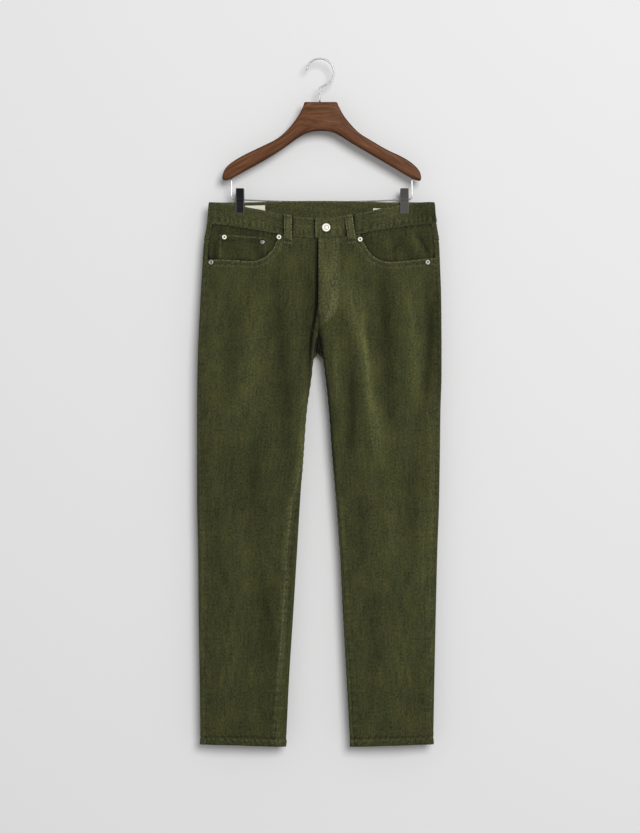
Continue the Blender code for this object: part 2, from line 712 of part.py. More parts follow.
def build_hanger(collection, materials):
    neck = WOOD_OUTLINE[:2]
    eased = round_path([(x * MM, z * MM) for x, z in WOOD_OUTLINE[2:]], 2)
    outline = [(x * MM, z * MM) for x, z in neck] + [tuple(p) for p in eased[1:]]
    corners = [(x, z, 0) for x, z in outline]
    wood = poly_curve("hanger_body", corners, collection, materials["wood"], cyclic=True)
    wood.data.dimensions = "2D"
    wood.data.fill_mode = "BOTH"
    wood.data.extrude = WOOD_HALF - WOOD_ROUND
    wood.data.bevel_depth = WOOD_ROUND
    wood.data.bevel_resolution = 2
    wood.data.offset = -WOOD_ROUND
    wood.rotation_euler = (math.radians(90), 0, 0)

    centre_z = HOOK_WIRE - HOOK_RADIUS
    arc = np.radians(np.linspace(HOOK_START_DEG, HOOK_TIP_DEG, 36))
    ring = [(HOOK_RADIUS * math.cos(a), 0, centre_z + HOOK_RADIUS * math.sin(a)) for a in arc]
    stem = [(STEM_X, 0, z) for z in np.linspace(WOOD_TOP + GAP, STEM_TOP, 5)]
    first = np.array(ring[0])
    last = np.array(stem[-1])
    corner = np.array([STEM_X, 0, STEM_TOP + 4 * MM])
    joining = [
        tuple((1 - t) ** 2 * last + 2 * t * (1 - t) * corner + t * t * first) for t in (0.25, 0.5, 0.75)
    ]
    hook = poly_curve("hanger_hook", stem + joining + ring, collection, materials["metal"])
    make_wire(hook, HOOK_WIRE)

    left_x, right_x = BAR_ENDS
    bottom = [(x, 0, bar_height(x)) for x in np.linspace(left_x + BAR_BEND, right_x - BAR_BEND, 19)]
    bar = corner_wire(left_x, BAR_TOPS[0]) + bottom + corner_wire(right_x, BAR_TOPS[1])[::-1]
    wire = poly_curve("hanger_bar", bar, collection, materials["metal"])
    make_wire(wire, BAR_WIRE)


def bar_height(x):
    """The bar's height at x: it bows down between its corners."""
    left_x, right_x = BAR_ENDS
    reach = (x - (left_x + right_x) / 2) / ((right_x - left_x) / 2 - BAR_BEND)
    return BAR_LEVEL - BAR_SAG * (1 - reach * reach)


def corner_wire(x, top):
    """From the wood down to the bar's corner: a straight drop and a quarter turn inwards."""
    inward = 1 if x < 0 else -1
    turn = np.radians(np.linspace(0, 75, 5))
    path = [(x, 0, z) for z in np.linspace(top, BAR_LEVEL + BAR_BEND, 4)[:-1]]
    for angle in turn:
        across = BAR_BEND * (1 - math.cos(angle))
        path.append((x + inward * across, 0, BAR_LEVEL + BAR_BEND * (1 - math.sin(angle))))
    return path


def make_wire(curve, radius):
    curve.data.bevel_depth = radius
    curve.data.bevel_resolution = 2
    curve.data.use_fill_caps = True


def build_clips(collection, materials):
    """Each clip: two pressed plates on a spring sleeve that turns on the bar, gripping the waistband."""
    for side, x in zip(("right", "left"), CLIP_X):
        across = np.array([x - JAW_WIDTH / 2, x + JAW_WIDTH / 2])
        for face, column, outwards in (("front", 1, -1), ("back", 2, 1)):
            path = np.array(JAW_PATH) * MM
            y = path[:, None, column] + JAW_WALL * outwards
            points = np.stack(np.broadcast_arrays(across, y, path[:, None, 0]), axis=-1)
            name = f"clip_{side}_{face}"
            add_cloth(name, points, face == "back", JAW_WALL, collection, materials["clip"])
        half = SPRING_WIDTH / 2
        profile = [
            (SPRING_OUTER, half),
            (SPRING_OUTER, -half),
            (SPRING_INNER, -half),
            (SPRING_INNER, half),
            (SPRING_OUTER, half),
        ]
        sleeve = turned(f"clip_{side}_spring", profile, 16, collection, materials["metal"])
        sleeve.location = (x, 0, bar_height(x))
        sleeve.rotation_euler = (0, math.radians(90), 0)


def build():
    clear_scene()
    parts = new_collection("corduroy trousers")
    cutters = new_collection("cutters")
    materials = make_materials()
    cloth = materials["corduroy"]
    for leg in ("right", "left"):
        front_panel = build_leg_panels(leg, parts, cloth)
        cut_pocket_mouth(front_panel, leg, parts, cutters)
    build_waistband(parts, cloth)
    build_pockets(parts, cloth)
    build_labels(parts, materials["label"])
    build_loops(parts, cloth)
    build_fly(parts, materials)
    build_studs(parts, materials["metal"])
    build_hanger(parts, materials)
    build_clips(parts, materials)


build()
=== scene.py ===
"""Five-pocket corduroy trousers, clipped by the waistband to a wooden hanger.

Metres, +Z up. The front of the garment faces -Y and the wearer's right leg is at -X. The origin is the
hook's seat. The pieces follow in the order in which a maker would cut, sew and hang them.
"""

import math

import bpy
import numpy as np
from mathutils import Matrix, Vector
from mathutils.geometry import tessellate_polygon


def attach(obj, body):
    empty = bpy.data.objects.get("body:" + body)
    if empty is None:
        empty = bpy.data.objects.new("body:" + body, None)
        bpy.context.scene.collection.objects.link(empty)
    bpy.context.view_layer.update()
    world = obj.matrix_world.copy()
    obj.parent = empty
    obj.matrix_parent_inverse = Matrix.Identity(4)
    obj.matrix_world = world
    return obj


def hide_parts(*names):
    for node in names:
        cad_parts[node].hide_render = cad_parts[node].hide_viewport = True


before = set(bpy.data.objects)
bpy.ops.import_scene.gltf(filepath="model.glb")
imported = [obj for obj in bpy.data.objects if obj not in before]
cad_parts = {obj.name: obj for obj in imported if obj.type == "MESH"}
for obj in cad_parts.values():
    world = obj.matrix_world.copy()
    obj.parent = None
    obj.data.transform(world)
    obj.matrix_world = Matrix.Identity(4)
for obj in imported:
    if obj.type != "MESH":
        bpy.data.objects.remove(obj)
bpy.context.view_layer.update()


# The room
# A pale painted wall close behind the hanger, a pale floor well below it, one large soft lamp up to
# the right and an even fill. None of it belongs to the garment.

MM = 0.001
WALL_Y = 29 * MM
FLOOR_Z = -1.56
PAINT = (0.8, 0.8, 0.8)

scene = bpy.context.scene
scene.view_settings.view_transform = "Standard"

lens = bpy.data.cameras.new("camera")
lens.sensor_width = 36
lens.lens = 88.2
camera = bpy.data.objects.new("camera", lens)
camera.location = (0, -4.003, -0.7003)
camera.rotation_euler = (math.radians(90), 0, 0)
scene.collection.objects.link(camera)
scene.camera = camera


def paint_material():
    """Matt paint, seen from its own side only. The fill light passes through it, so that what hangs
    close in front of the wall is lit from behind too."""
    material = bpy.data.materials.new("wall paint")
    material.use_nodes = True
    tree = material.node_tree
    shader = tree.nodes["Principled BSDF"]
    shader.inputs["Base Color"].default_value = (*PAINT, 1)
    shader.inputs["Roughness"].default_value = 0.95
    shader.inputs["Specular IOR Level"].default_value = 0.1
    side = tree.nodes.new("ShaderNodeNewGeometry")
    clear = tree.nodes.new("ShaderNodeBsdfTransparent")
    mix = tree.nodes.new("ShaderNodeMixShader")
    ray = tree.nodes.new("ShaderNodeLightPath")
    through = side.outputs["Backfacing"]
    for kind in ("Is Diffuse Ray", "Is Shadow Ray"):
        either = tree.nodes.new("ShaderNodeMath")
        either.operation = "MAXIMUM"
        tree.links.new(through, either.inputs[0])
        tree.links.new(ray.outputs[kind], either.inputs[1])
        through = either.outputs[0]
    tree.links.new(through, mix.inputs[0])
    tree.links.new(shader.outputs[0], mix.inputs[1])
    tree.links.new(clear.outputs[0], mix.inputs[2])
    tree.links.new(mix.outputs[0], tree.nodes["Material Output"].inputs["Surface"])
    return material


def flat_plane(name, corners):
    """One of the room's painted planes."""
    mesh = bpy.data.meshes.new(name)
    mesh.from_pydata(corners, [], [(0, 1, 2, 3)])
    mesh.materials.append(paint)
    plane = bpy.data.objects.new(name, mesh)
    scene.collection.objects.link(plane)


paint = paint_material()
flat_plane("room_wall", [(-4, WALL_Y, FLOOR_Z), (4, WALL_Y, FLOOR_Z), (4, WALL_Y, 2.4), (-4, WALL_Y, 2.4)])
flat_plane("room_floor", [(-5, -5, FLOOR_Z), (5, -5, FLOOR_Z), (5, 5, FLOOR_Z), (-5, 5, FLOOR_Z)])

lamp = bpy.data.lights.new("soft lamp", "AREA")
lamp.shape = "DISK"
lamp.size = 3.6
lamp.energy = 324
lamp_object = bpy.data.objects.new("soft lamp", lamp)
lamp_object.location = (1.9, -6.3, 1.65)
aim = Vector((0, 0, -0.6)) - lamp_object.location
lamp_object.rotation_euler = aim.to_track_quat("-Z", "Y").to_euler()
scene.collection.objects.link(lamp_object)

world = bpy.data.worlds.new("even fill")
scene.world = world
world.use_nodes = True
world.node_tree.nodes["Background"].inputs["Color"].default_value = (1, 1, 1, 1)
world.node_tree.nodes["Background"].inputs["Strength"].default_value = 0.41


# The form that the cloth hangs in
# Each leg is a ring of cloth at every level, pressed nearly flat: a superellipse in plan whose folds,
# depth and dip come from one row of the table. Above the crotch both rings run past the centre plane.

CENTRE_X = -3 * MM  # the garment's centre plane
CLOTH_Y = -3 * MM  # the middle of its depth
CLIP_X = (-156.8 * MM, 165.5 * MM)
PRESSED_HALF = 9 * MM  # half the width that a clip presses
PRESSED_DEPTH = 3.75 * MM  # half the depth of the layers in a clip
DIP_HALF = 225 * MM  # from the centre out to where the levels no longer dip
SEAM_GAP = 0.5 * MM  # between edges that are sewn together
GAP = 0.3 * MM  # between pieces that lie on each other
LOOSE_GAP = 0.6 * MM  # the same, where they lie loosely
CLOTH_WALL = 1.5 * MM
TRIM_WALL = 1.2 * MM
BAND_WALL = 2.6 * MM
BAND_TOP = -281 * MM
WAIST_SEAM = -323 * MM
CROTCH = -551 * MM
HEM = -1342 * MM

# level, centre front, centre back, outer and inner fold of the right leg, inner and outer fold of the
# left leg, belly, seat, flank (mm), grip of the clips, squareness, inseam inside the fold right, left
SECTIONS = np.array(
    (
        (-281, -314, -278.5, -218.5, 212.5, -231.5, 225.5, 22, 1.2, 9, 1.0, 3.0, 0, 0),
        (-323, -352, -319, -221.8, 215.8, -234.7, 228.7, 27, 7, 11, 0.8, 2.9, 0, 0),
        (-345, -369, -343, -225.3, 219.3, -237.9, 231.9, 29, 13, 14, 0.5, 2.7, 0, 0),
        (-372, -390.5, -373.5, -228.5, 222.5, -240.1, 234.1, 30.5, 18.5, 18, 0.25, 2.6, 0, 0),
        (-410, -420.5, -415.5, -230.8, 224.8, -241.6, 235.6, 30.5, 23, 21, 0.08, 2.5, 0, 0),
        (-455, -456, -465.5, -233.5, 204, -219, 237.3, 30, 26, 23.5, 0, 2.5, 0, 0),
        (-500, -491, -515.5, -236, 113.5, -123.5, 238, 28.5, 27.5, 25, 0, 2.4, 0, 0),
        (-532, -516.5, -551, -237.5, 32, -39, 238.2, 27, 27.5, 25.5, 0, 2.4, 0, 0),
        (-551, -531, -572, -238.5, -3, -3, 238.4, 26, 27, 25.5, 0, 2.4, 0, 0),
        (-575, -557, -590, -239.4, -11, 2.8, 238.4, 25.5, 26, 25, 0, 2.4, -2, -2),
        (-620, -610, -628, -240.3, -15.3, 9.5, 238.3, 25, 25, 25, 0, 2.4, -3, -3),
        (-690, -686, -694, -241, -25.4, 17.4, 236.2, 23, 23, 23, 0, 2.3, -2, -2),
        (-770, -770, -770, -241, -32, 23.4, 235.2, 20, 20, 20, 0, 2.3, 1, 0),
        (-820, -820, -820, -241, -35.8, 28, 234.4, 18, 18, 18, 0, 2.3, 9, 2.5),
        (-870, -870, -870, -240.9, -39.2, 32.2, 233.4, 16, 16, 16, 0, 2.3, 17, 5),
        (-970, -970, -970, -239, -45.2, 39.7, 229.8, 14, 14, 14, 0, 2.3, 21, 6),
        (-1090, -1090, -1090, -237.8, -52.6, 45.6, 227, 12.5, 12.5, 12.5, 0, 2.3, 20.5, 8),
        (-1215, -1216, -1216, -235.9, -60.6, 52.2, 224.3, 11, 11, 11, 0, 2.3, 22, 9),
        (-1342, -1347.5, -1347.5, -234.4, -66.8, 59.2, 221.9, 10, 10, 10, 0, 2.4, 25.5, 10),
    )
).T
COLUMN_NAMES = (
    "level", "front", "back", "right_out", "right_in", "left_in", "left_out",
    "belly", "seat", "flank", "grip", "square", "right_seam", "left_seam",
)
SECTION = {
    name: column * (1 if name in ("grip", "square") else MM)
    for name, column in zip(COLUMN_NAMES, SECTIONS)
}


def smooth_step(low, high, value):
    """0 below low, 1 above high, and 3tt - 2ttt between them."""
    t = np.clip((value - low) / (high - low), 0, 1)
    return t * t * (3 - 2 * t)


def bell(distance, width):
    """exp(-(distance / width) squared)."""
    return np.exp(-((distance / width) ** 2))


def unit(vectors):
    """Vectors divided by their lengths."""
    return vectors / np.maximum(np.linalg.norm(vectors, axis=-1, keepdims=True), 1e-9)


def running_sum(steps):
    """0, the first step, the first two together, and so on."""
    return np.concatenate([[0], np.cumsum(steps)])


def run_along(points):
    """Length along a line of points, from its first."""
    return running_sum(np.linalg.norm(np.diff(points, axis=0), axis=1))


def smooth_column(name, level):
    """A column of the table at any level: cubic pieces through the rows, whose slopes are the harmonic
    mean of the slopes beside them, so that they never overshoot a row."""
    at, values = -SECTION["level"], SECTION[name]
    step = np.diff(at)
    slope = np.diff(values) / step
    before, after = slope[:-1], slope[1:]
    same_way = before * after > 0
    mean = np.where(same_way, 2 * before * after / np.where(same_way, before + after, 1), 0)
    tangent = np.concatenate([slope[:1], mean, slope[-1:]])
    where = -np.asarray(level, float)
    i = np.clip(np.searchsorted(at, where, side="right") - 1, 0, len(step) - 1)
    t = (where - at[i]) / step[i]
    start = (1 + 2 * t) * (1 - t) ** 2 * values[i] + t * (1 - t) ** 2 * step[i] * tangent[i]
    end = t * t * (3 - 2 * t) * values[i + 1] + t * t * (t - 1) * step[i] * tangent[i + 1]
    return start + end


def beyond_clip(x):
    """How far x lies outside the width that the nearer clip presses."""
    away = np.minimum(np.abs(x - CLIP_X[0]), np.abs(x - CLIP_X[1]))
    return np.maximum(away - PRESSED_HALF, 0)


def place(x, bulge, level):
    """A point on the ring: bulge runs from -1 on the front through 0 at a fold to 1 behind, times the
    depth there. Near a clip the depth shrinks to the pressed layers; the centre dips by a cosine."""
    flank = smooth_column("flank", level)
    middle = np.where(bulge < 0, smooth_column("belly", level), smooth_column("seat", level))
    inward = 1 - smooth_step(95 * MM, 170 * MM, np.abs(x - CENTRE_X))
    stand = flank + (middle - flank) * inward
    grip = smooth_column("grip", level) * bell(beyond_clip(x), 25 * MM)
    y = CLOTH_Y + bulge * (stand * (1 - grip) + PRESSED_DEPTH * grip)
    behind = ((1 + bulge) / 2) ** 2
    centre = smooth_column("front", level) * (1 - behind) + smooth_column("back", level) * behind
    central = 0.5 + 0.5 * np.cos(math.pi * np.clip(np.abs(x - CENTRE_X) / DIP_HALF, 0, 1))
    return np.stack(np.broadcast_arrays(x, y, level + (centre - level) * central), axis=-1)


def ring_shape(leg, level):
    """A ring's middle, its half width, below 0 on the right leg, and its squareness."""
    outer, inner = smooth_column(leg + "_out", level), smooth_column(leg + "_in", level)
    return (outer + inner) / 2, (outer - inner) / 2, smooth_column("square", level)


def cloth_form(leg, level, turn):
    """The outer face: turn is 0 at the outer fold and pi at the inner one, positive over the front.
    Each ring is a superellipse read by its polar angle. Just under the crotch the cloth behind the
    inner fold reaches across to the other leg, where the seat seam ends."""
    middle, half, square = ring_shape(leg, level)
    reach = (np.abs(np.cos(turn)) ** square + np.abs(np.sin(turn)) ** square) ** (1 / square)
    x = middle + half * np.cos(turn) / reach
    bulge = -np.sin(turn) / reach
    under = smooth_step(-598 * MM, -574 * MM, level) * smooth_step(CROTCH + 3 * MM, CROTCH - 2 * MM, level)
    from_fold = np.abs(x - (middle - half))
    under = under * smooth_step(0, 0.3, bulge) * bell(np.maximum(from_fold - 9 * MM, 0), 14 * MM)
    meet = CENTRE_X + 1.6 * MM * np.sin(9 * bulge) + np.sign(half) * 0.35 * MM
    return place(x + under * (meet - x), bulge, level)


def form_normal(leg, level, turn):
    """The outward normal: the cross product of small steps round the ring and up the leg."""
    step = 0.002
    around = cloth_form(leg, level, turn + step) - cloth_form(leg, level, turn - step)
    upward = cloth_form(leg, level + MM, turn) - cloth_form(leg, level - MM, turn)
    return unit(np.cross(around, upward)) * (1 if leg == "right" else -1)


# Folds, mm: height (below 0 a trough), half width, and the line it follows down the cloth (x, z)
FRONT_FOLDS = (
    (
        4.4, 14,
        ((40, -385), (52, -440), (66, -500), (82, -560), (90, -610), (98, -680), (108, -750), (114, -840)),
    ),
    (1.9, 20, ((40, -370), (50, -440), (60, -500), (66, -560))),
    (-3.0, 16, ((112, -385), (122, -440), (127, -510), (132, -600), (136, -680), (130, -760))),
    (3.2, 14, ((158, -400), (170, -450), (177, -510), (183, -580), (184, -650), (176, -730))),
    (-3.8, 10, ((206, -405), (213, -450), (216, -510), (214, -580), (208, -650), (200, -720))),
    (-2.2, 7, ((223, -385), (228, -450), (231, -530), (231, -620), (228, -720))),
    (3.2, 8, ((30, -545), (31, -590), (33, -640), (38, -690))),
    (-2.8, 11, ((58, -560), (62, -610), (63, -680), (60, -760), (56, -820))),
    (2.6, 14, ((100, -640), (110, -700), (118, -760), (122, -840))),
    (2.6, 14, ((10, -380), (14, -450), (16, -520), (20, -560))),
    (-2.6, 4.5, ((-5, -330), (-6, -380), (-6.5, -470), (-10, -510), (-16, -533), (-18, -566), (-21, -640))),
    (-1.6, 14, ((-17, -340), (-18, -400), (-22, -500), (-30, -580), (-33, -660))),
    (-3.2, 17, ((-96, -385), (-88, -450), (-78, -530), (-69, -610), (-66, -700), (-64, -820))),
    (2.6, 7, ((-33, -735), (-51, -831), (-62, -897), (-69, -964), (-72, -1060), (-78, -1180), (-88, -1342))),
    (-1.9, 4, ((-25, -745), (-41, -840), (-51, -905), (-57, -970), (-60, -1060), (-66, -1180), (-74, -1330))),
    (1.8, 4, ((-228, -800), (-229, -900), (-228, -1000), (-227, -1110))),
    (1.8, 5, ((79, -405), (82, -480), (84, -540), (90, -600), (97, -690))),
    (1.3, 2.2, ((-4, -526), (66, -530))),
    (1.8, 24, ((-118, -395), (-128, -470), (-122, -540), (-134, -620), (-164, -700), (-184, -790))),
    (-1.8, 16, ((-170, -430), (-168, -520), (-176, -620), (-182, -680))),
    (1.4, 13, ((-206, -430), (-204, -540), (-206, -680))),
    (-1.6, 18, ((-128, -680), (-126, -800), (-132, -940))),
    (1.6, 16, ((-160, -860), (-150, -980), (-152, -1120))),
    (-1.5, 14, ((-112, -980), (-108, -1080), (-114, -1220))),
    (1.4, 15, ((-180, -1080), (-172, -1180), (-168, -1290))),
    (-2.0, 14, ((78, -820), (80, -920), (86, -1040))),
    (2.0, 15, ((140, -800), (136, -900), (140, -1040))),
    (-1.7, 15, ((186, -760), (178, -860), (170, -980))),
    (1.5, 12, ((206, -840), (202, -960), (196, -1080))),
    (-1.4, 14, ((108, -1000), (106, -1100), (110, -1220))),
    (1.5, 16, ((162, -1080), (158, -1180), (150, -1290))),
)
# Painted light and shade along lines: a painted shadow in the crease from the fly's lap down the
# inside of the right leg, painted shade in the left leg's inner fold, and painted highlights and shade
# along the folds of both legs: how much lighter (above 0) or darker, half width (mm), line
NAP_LINES = (
    (
        -2.0, 2.8,
        ((-5.2, -180), (-5.6, -440), (-6, -482), (-9.4, -505), (-13.6, -528), (-17, -548), (-19.5, -575),
         (-22, -690)),
    ),
    (0.8, 5, ((-237, -940), (-235, -1090), (-233, -1215), (-231, -1342), (-226, -1650))),
    (
        0.9, 6.5,
        ((213, -560), (216, -740), (219, -850), (222, -960), (221, -1090), (218, -1215), (216, -1342),
         (209, -1700)),
    ),
    (0.8, 4.5, ((34, -740), (41, -870), (48, -970), (54, -1090), (60, -1230))),
    (0.8, 6, ((80, -450), (84, -540), (91, -610), (100, -700), (108, -800))),
    (0.5, 5, ((28, -500), (30, -560), (32, -640), (38, -720))),
    (-0.4, 9, ((62, -480), (63, -600), (64, -700), (62, -800))),
    (-0.45, 14, ((124, -340), (128, -430), (131, -520), (134, -600))),
    (-2.0, 3.5, ((-4, -440), (3, -565), (10.5, -620), (18.5, -690), (24.5, -770), (36, -930))),
    (-1.2, 2.5, ((24, -780), (32.5, -870), (40, -970), (46, -1090), (52.5, -1230), (60, -1450))),
    (0.6, 6, ((-42, -770), (-56, -860), (-66, -930), (-73, -1010))),
    (1.8, 7, ((-27, -620), (-31, -700), (-38, -800), (-47, -890))),
    (0.9, 7, ((-50, -880), (-58, -1000), (-64, -1090), (-71, -1215), (-76, -1342), (-90, -1700))),
    (-0.35, 16, ((-90, -960), (-94, -1090), (-100, -1215), (-108, -1342), (-124, -1700))),
)
BACK_FOLDS = (
    (3.2, 14, ((-104, -600), (-96, -680), (-100, -780), (-108, -860))),
    (-2.8, 13, ((-66, -585), (-62, -660), (-66, -740))),
    (2.2, 12, ((-160, -570), (-158, -660), (-150, -760))),
    (3.0, 14, ((98, -600), (94, -690), (100, -800))),
    (-3.0, 12, ((60, -580), (58, -650), (62, -730))),
    (2.4, 13, ((156, -565), (160, -650), (152, -770))),
    (2.4, 9, ((-12, -560), (-48, -588), (-90, -604))),
    (-2.2, 8, ((-14, -575), (-50, -606), (-86, -626))),
    (2.4, 9, ((8, -560), (42, -586), (84, -600))),
    (-2.0, 8, ((10, -576), (46, -604), (88, -622))),
    (-2.2, 12, ((-200, -480), (-204, -580), (-198, -680))),
    (2.0, 12, ((206, -470), (204, -570), (200, -680))),
    (2.0, 16, ((-150, -800), (-146, -920), (-150, -1050))),
    (-1.8, 14, ((-108, -880), (-104, -1000), (-108, -1120))),
    (2.0, 16, ((146, -820), (142, -950), (146, -1080))),
    (-1.7, 14, ((100, -860), (96, -980), (104, -1100))),
    (1.6, 15, ((-168, -1080), (-164, -1200), (-160, -1300))),
    (1.6, 15, ((130, -1100), (134, -1200), (132, -1300))),
)

# Slow unevenness: wavelengths across and down (mm), height (mm), phase
UNEVEN = (
    (88, 520, 0.55, 0.3), (61, -610, 0.42, 1.9), (47, 380, 0.26, 4.1), (160, 105, 0.30, 2.6),
    (-130, 77, 0.22, 5.2), (34, 150, 0.13, 0.9), (-29, 118, 0.10, 3.3), (210, 46, 0.10, 1.2),
)


def soft_folds(folds, x, z):
    """The sum of the folds: each one's height falls off as a bell with the distance from its line, and
    tapers to nothing over the two ends of the line."""
    total = np.zeros(np.broadcast(x, z).shape)
    spot = np.stack(np.broadcast_arrays(x, z), axis=-1)[..., None, :]
    for height, width, line in folds:
        line = np.array(line) * MM
        along = np.diff(line, axis=0)
        lengths = np.linalg.norm(along, axis=1)
        offset = spot - line[:-1]
        t = np.clip((offset * along).sum(-1) / lengths**2, 0, 1)
        gap = np.linalg.norm(offset - t[..., None] * along, axis=-1)
        nearest = gap.argmin(-1)[..., None]
        start = running_sum(lengths)[:-1]
        run = (start[nearest] + np.take_along_axis(t, nearest, -1) * lengths[nearest])[..., 0]
        share = run / lengths.sum()
        taper = smooth_step(0, 0.35, share) * smooth_step(0, 0.35, 1 - share)
        total += height * MM * bell(gap.min(-1), width * MM) * taper
    return total


def slow_waves(x, z):
    """The sum of a few long sine waves that run at different slants."""
    total = np.zeros(np.broadcast(x, z).shape)
    for across, down, height, phase in UNEVEN:
        total += height * MM * np.sin(2 * math.pi * (x / (across * MM) + z / (down * MM)) + phase)
    return total


def fold_height(point, normal, waves=1.0):
    """How far folds and waves move a point along y, and the folds' height for the painted shading,
    which paints ridges lighter and troughs darker and in which the waves count a third. The move
    fades to nothing where the cloth turns edge on, so the outline keeps its place."""
    x, z = point[..., 0], point[..., 2]
    front, back = soft_folds(FRONT_FOLDS, x, z), soft_folds(BACK_FOLDS, x, z)
    calm = smooth_step(WAIST_SEAM + 10 * MM, WAIST_SEAM - 90 * MM, z)
    fold, wave = np.where(normal[..., 1] < 0, front, back), waves * calm * slow_waves(x, z)
    shift = np.zeros(point.shape)
    shift[..., 1] = normal[..., 1] * np.abs(normal[..., 1]) * (fold + wave)
    return fold + wave / 3, shift


# Seams
# Each leg is cut at the outseam, a little in front of its outer fold, and at the inseam near its inner
# one. Above the crotch the panels end at the centre plane, and the right front runs on under the fly.

OUTSEAM_IN = 13 * MM  # from the outer fold to the outseam
UNDER_FLY = 10 * MM  # how far the right front runs on beneath the left one
FLY_END = -497 * MM
LADDER = np.linspace(WAIST_SEAM + 3 * MM, HEM, 420)  # the levels at which the panels are worked out
SHARES = np.linspace(0, 1, 241)


def seam_turns(leg, level):
    """Where one ring is cut, as turns: the front panel's outer and inner edge, then the back panel's.
    The inner edge is the inseam, or the centre plane where the ring still crosses it."""
    turn = np.linspace(0, 1.35 * math.pi, 1200)
    points = cloth_form(leg, level, turn)
    run = run_along(points[:, :2])
    fold = np.interp(math.pi, turn, run)
    inseam = smooth_column(leg + "_seam", level)
    outseam = np.interp([OUTSEAM_IN, OUTSEAM_IN - SEAM_GAP], run, turn)
    ends = np.interp([fold - inseam, fold - inseam + SEAM_GAP], run, turn)
    clear = (points[:, 0] - CENTRE_X) * np.sign(points[0, 0])  # from the centre plane, to the leg's side
    half = turn <= math.pi
    at_plane = np.interp(-SEAM_GAP / 2, -clear[half], turn[half])
    crosses = clear[half].min() < SEAM_GAP / 2
    front_end = min(ends[0], at_plane) if crosses else ends[0]
    back_end = max(-at_plane, ends[1] - 2 * math.pi) if crosses else ends[1] - 2 * math.pi
    if leg == "right" and level > FLY_END - 12 * MM:
        under = (UNDER_FLY + SEAM_GAP / 2) * smooth_step(FLY_END - 12 * MM, FLY_END + 12 * MM, level)
        front_end = np.interp(under - SEAM_GAP / 2, -clear[half], turn[half])
    return {"front": (outseam[0], front_end), "back": (outseam[1], back_end)}


def ring_lengths(leg, level, turn, bend_weight):
    """Length of cloth to each turn on one ring; and the same with every bend's angle times a weight
    added, so that even shares of it lie closer together at the folds."""
    step = np.diff(cloth_form(leg, level, turn)[:, :2], axis=0)
    length = np.linalg.norm(step, axis=1)
    bend = np.abs(np.gradient(np.unwrap(np.arctan2(step[:, 1], step[:, 0]))))
    return running_sum(length), running_sum(length + bend_weight * bend)


def panel_tables(leg):
    """For both panels: the turn, and the length of cloth from the outer edge, at even shares of the
    way across on every rung of the ladder. Shares follow the cloth's length, closer at the folds."""
    tables = {"front": [], "back": []}
    for level in LADDER:
        for part, (start, end) in seam_turns(leg, level).items():
            turn = np.linspace(start, end, 600)
            run, weighed = ring_lengths(leg, level, turn, 14 * MM)
            at = np.interp(SHARES * weighed[-1], weighed, turn)
            way = np.sign(end - start)
            tables[part].append((at, np.interp(way * at, way * turn, run)))
    return {part: np.array(rows).transpose(1, 0, 2) for part, rows in tables.items()}


TABLES = {leg: panel_tables(leg) for leg in ("right", "left")}


def read_table(table, share, level):
    """A table read between its rungs and shares, straight both ways."""
    row = np.clip((LADDER[0] - level) / (LADDER[0] - LADDER[-1]), 0, 1) * (len(LADDER) - 1.001)
    column = np.clip(share, 0, 1) * (len(SHARES) - 1.001)
    i, j = row.astype(int), column.astype(int)
    a, b = row - i, column - j
    upper = table[i, j] * (1 - b) + table[i, j + 1] * b
    lower = table[i + 1, j] * (1 - b) + table[i + 1, j + 1] * b
    return upper * (1 - a) + lower * a


def turn_at(leg, part, share, level):
    """The turn at a share of the way across a panel."""
    return read_table(TABLES[leg][part][0], share, level)


def cloth_run(leg, part, share, level):
    """Length of cloth from a panel's outer edge to a share, and the panel's whole width there."""
    lengths = TABLES[leg][part][1]
    return read_table(lengths, share, level), read_table(lengths, np.ones(share.shape), level)


# Pocket mouths: x and z of the scoop from the waist seam to the outseam, mm
MOUTHS = {
    "right": (
        (-79, -330), (-79.6, -352), (-85.5, -362), (-92.3, -375.9), (-106.4, -390), (-123.9, -397),
        (-141.3, -397.7), (-169.3, -395.5), (-200.9, -394.4), (-245, -394.2),
    ),
    "left": (
        (78.5, -330), (79, -354.5), (85.6, -363), (92.5, -375.9), (102.5, -387.3), (115, -395.3),
        (128.8, -399), (146.2, -399), (183.8, -395.3), (250, -388),
    ),
}


def read_line(at, run, line):
    """A line of points read at lengths along it, straight between its points."""
    return np.stack([np.interp(at, run, column) for column in line.T], axis=1)


def smooth_line(points, count):
    """A Catmull-Rom curve through points, sampled evenly by length."""
    points = np.asarray(points, float)
    padded = np.vstack([2 * points[0] - points[1], points, 2 * points[-1] - points[-2]])
    t = np.linspace(0, len(points) - 1, 24 * len(points))
    i = np.minimum(t.astype(int), len(points) - 2)
    f = (t - i)[:, None]
    a, b, c, d = padded[i], padded[i + 1], padded[i + 2], padded[i + 3]
    curve = 0.5 * (2 * b + (c - a) * f + (2 * a - 5 * b + 4 * c - d) * f**2 + (3 * b - a - 3 * c + d) * f**3)
    run = run_along(curve)
    return read_line(np.linspace(0, run[-1], count), run, curve)


MOUTH_LINES = {leg: smooth_line(np.array(points) * MM, 160) for leg, points in MOUTHS.items()}


def on_cloth(leg, side, x, level):
    """The form's outer face at x on a level, on the front or the back."""
    middle, half, square = ring_shape(leg, level)
    across = np.clip(np.abs((x - middle) / half), 0, 1)
    bulge = (1 - across**square) ** (1 / square) * (-1 if side == "front" else 1)
    return place(x, bulge, level)


def level_through(leg, side, x, z):
    """The level whose ring passes through height z at x, by repeated correction."""
    level = np.array(z, float)
    for _ in range(30):
        level = level + z - on_cloth(leg, side, x, level)[..., 2]
    return level


def share_through(leg, x, level):
    """The share across the front panel at x on each level: the superellipse solved for its turn."""
    middle, half, square = ring_shape(leg, level)
    across = (x - middle) / half
    turn = np.arctan2((1 - np.clip(np.abs(across), 0, 1) ** square) ** (1 / square), across)
    fine = np.linspace(0, 1, 1200)
    grid = turn_at(leg, "front", fine[None, :], level[:, None])
    return np.array([np.interp(t, row, fine, left=-0.01) for t, row in zip(turn, grid)])


